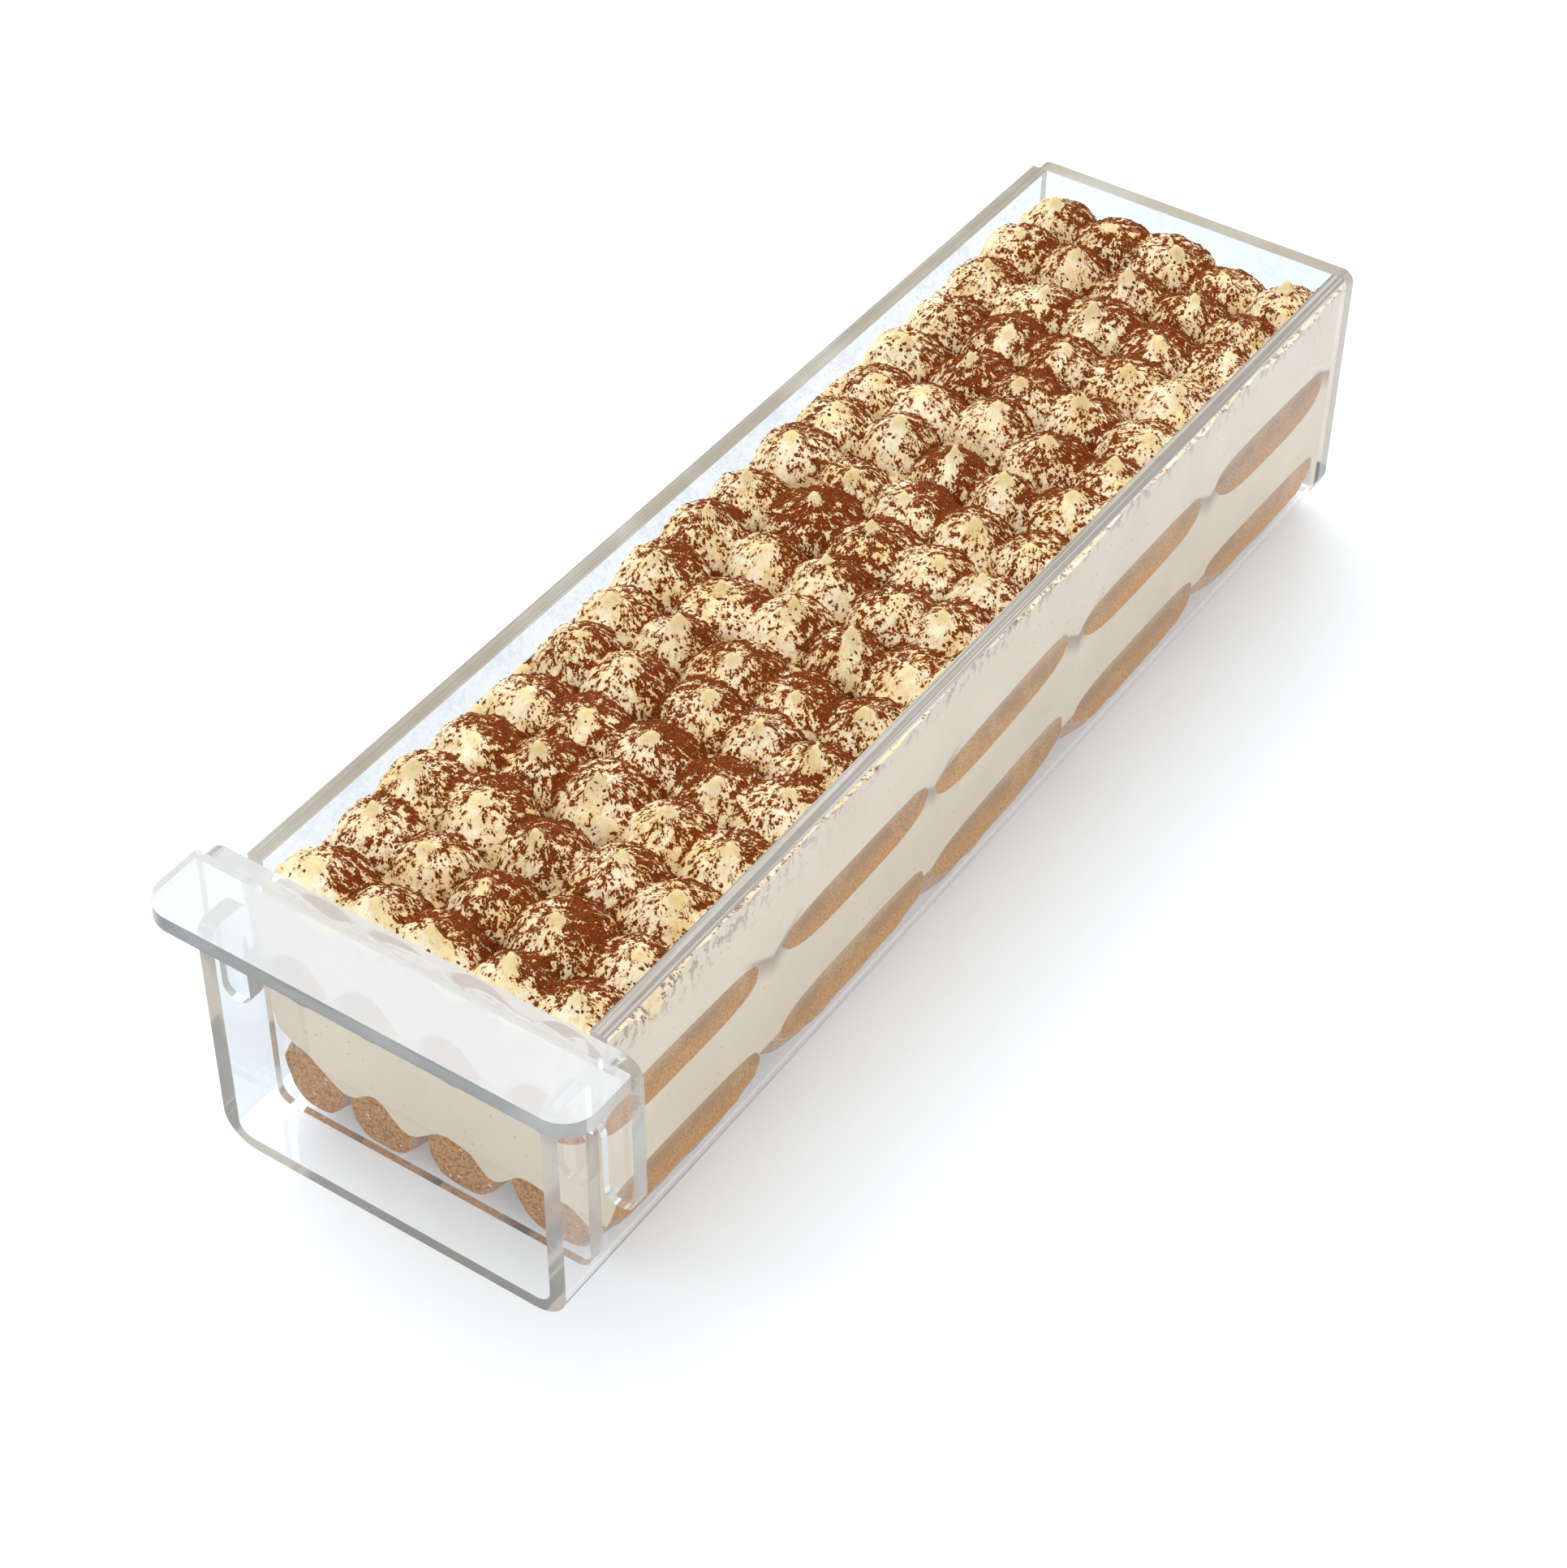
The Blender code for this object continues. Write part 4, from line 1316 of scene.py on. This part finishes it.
# %% [markdown]
# The middle cream lies between both layers of biscuits. It fills the room behind the last row, down to the
# floor, and stays a hair inside the upper cream's sides, so that no two faces share a plane.

# %% Middle cream
MIDDLE_CREAM_ENDS = {"joint": 50 * MM, "swell": -6 * MM}
FILL_START = BACK_FRONT - 5 * MM
FILL_END = BACK_FRONT - 3 * MM

over_z = over_fingers(under_x, under_y, "high", False, MIDDLE_RIDGE)
over_z = blend(near_gate(under_y), over_z, gate_ends(under_x, **MIDDLE_CREAM_ENDS))
below_z = over_fingers(under_x, under_y, "low", True, LOW_VALLEY)
below_z = blend(near_gate(under_y), below_z, gate_wave(under_x))
below_z = blend(ease(under_y, FILL_START, FILL_END), below_z, BACK_FILL)
inner_x = under_x * CLEAR_OF_OTHER
inner_y = np.minimum(under_y, CREAM_BACK - CREAM_REACH / 2)
lower = (inner_x, inner_y, below_z)
upper = (inner_x, inner_y, over_z)
cream_middle = slab("middle_cream", lower, upper, [pressed_cream, pressed_cream])
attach(cream_middle, "root")
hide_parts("cream_middle")

# %% [markdown]
# ## Loose cocoa
# The coarser cocoa lies as flecks a millimetre or two long, drawn out down the sides of each dollop. A
# Geometry Nodes tree scatters them: points on the cream as dense as the cocoa there, and on each a flat crumb
# that lies on the surface and points away from the nub.


# %% Cocoa crumb finish
def crumb_finish():
    graph = new_finish("cocoa crumb")
    grain = graph.noise(graph.place(), 1800.0, 2.0)
    return graph.show({
        "Base Color": graph.mix(grain.step(0.3, 0.7), "582508", "8C481A"),
        "Roughness": 0.95,
        "Specular IOR Level": 0.1,
    })


cocoa_crumb = crumb_finish()

# %% The scatter tree
CRUMB_TEAR = 0.7 * MM


def scatter_tree():
    tree = bpy.data.node_groups.new("scatter crumbs", "GeometryNodeTree")
    add_inputs(
        tree,
        Object=("Surface",),
        Float=("Density", "Steepness"),
        Vector=("Smallest", "Largest"),
        Int=("Seed",),
        Material=("Finish",),
    )
    graph = Graph(tree)
    given = graph.node("NodeGroupInput").out
    seed = given("Seed")

    def named(name, kind):
        return graph.node("GeometryNodeInputNamedAttribute", {"Name": name}, data_type=kind)

    def drawn(lowest, highest):
        sockets = {"Min": lowest, "Max": highest, "Seed": seed}
        return graph.node("FunctionNodeRandomValue", sockets, data_type="FLOAT_VECTOR")

    facing = graph.split(graph.geometry("InputNormal"))[2]
    spots = graph.node("GeometryNodeDistributePointsOnFaces", {
        "Mesh": graph.geometry("ObjectInfo", Object=given("Surface")).out("Geometry"),
        "Selection": facing > 0.1,
        "Density": named("cocoa", "FLOAT") ** given("Steepness") * given("Density"),
        "Seed": seed,
    }, distribute_method="RANDOM")
    upward = graph.node("FunctionNodeAlignRotationToVector", {"Vector": spots.out("Normal")}, axis="Z")
    astray = graph.vector("ADD", named("outward", "FLOAT_VECTOR"), drawn((-1.0, -1.0, -1.0), (1.0, 1.0, 1.0)))
    turn = {"Rotation": upward, "Vector": astray}
    crumbs = graph.node("GeometryNodeInstanceOnPoints", {
        "Points": spots,
        "Instance": graph.geometry("MeshUVSphere", Segments=6, Rings=2, Radius=0.5),
        "Rotation": graph.node("FunctionNodeAlignRotationToVector", turn, axis="X", pivot_axis="Z"),
        "Scale": drawn(given("Smallest"), given("Largest")),
    })
    real = graph.geometry("RealizeInstances", Geometry=crumbs)
    uneven = graph.node("ShaderNodeTexNoise", {"Scale": 1400.0, "Detail": 0.0}).out("Color")
    centred = graph.vector("SUBTRACT", uneven, (0.5, 0.5, 0.5))
    push = graph.vector("SCALE", centred, Scale=CRUMB_TEAR)
    torn = graph.geometry("SetPosition", Geometry=real, Offset=push)
    done = graph.geometry("SetMaterial", Geometry=torn, Material=given("Finish"))
    graph.node("NodeGroupOutput", {"Geometry": done})
    return tree


# %% Scatter the cocoa
crumb_tree = scatter_tree()
cocoa_flecks = grow("cocoa_flecks", crumb_tree, {
    "Surface": cream_top,
    "Density": 0.56e6,
    "Steepness": 1.0,
    "Smallest": (0.5 * MM, 0.45 * MM, 0.20 * MM),
    "Largest": (1.6 * MM, 1.2 * MM, 0.40 * MM),
    "Seed": 4,
    "Finish": cocoa_crumb,
})
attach(cocoa_flecks, "root")
print("cocoa flecks:", len(cocoa_flecks.data.polygons), "faces")

# %% [markdown]
# ## Last measure
# The dressed object has to keep the model's size.
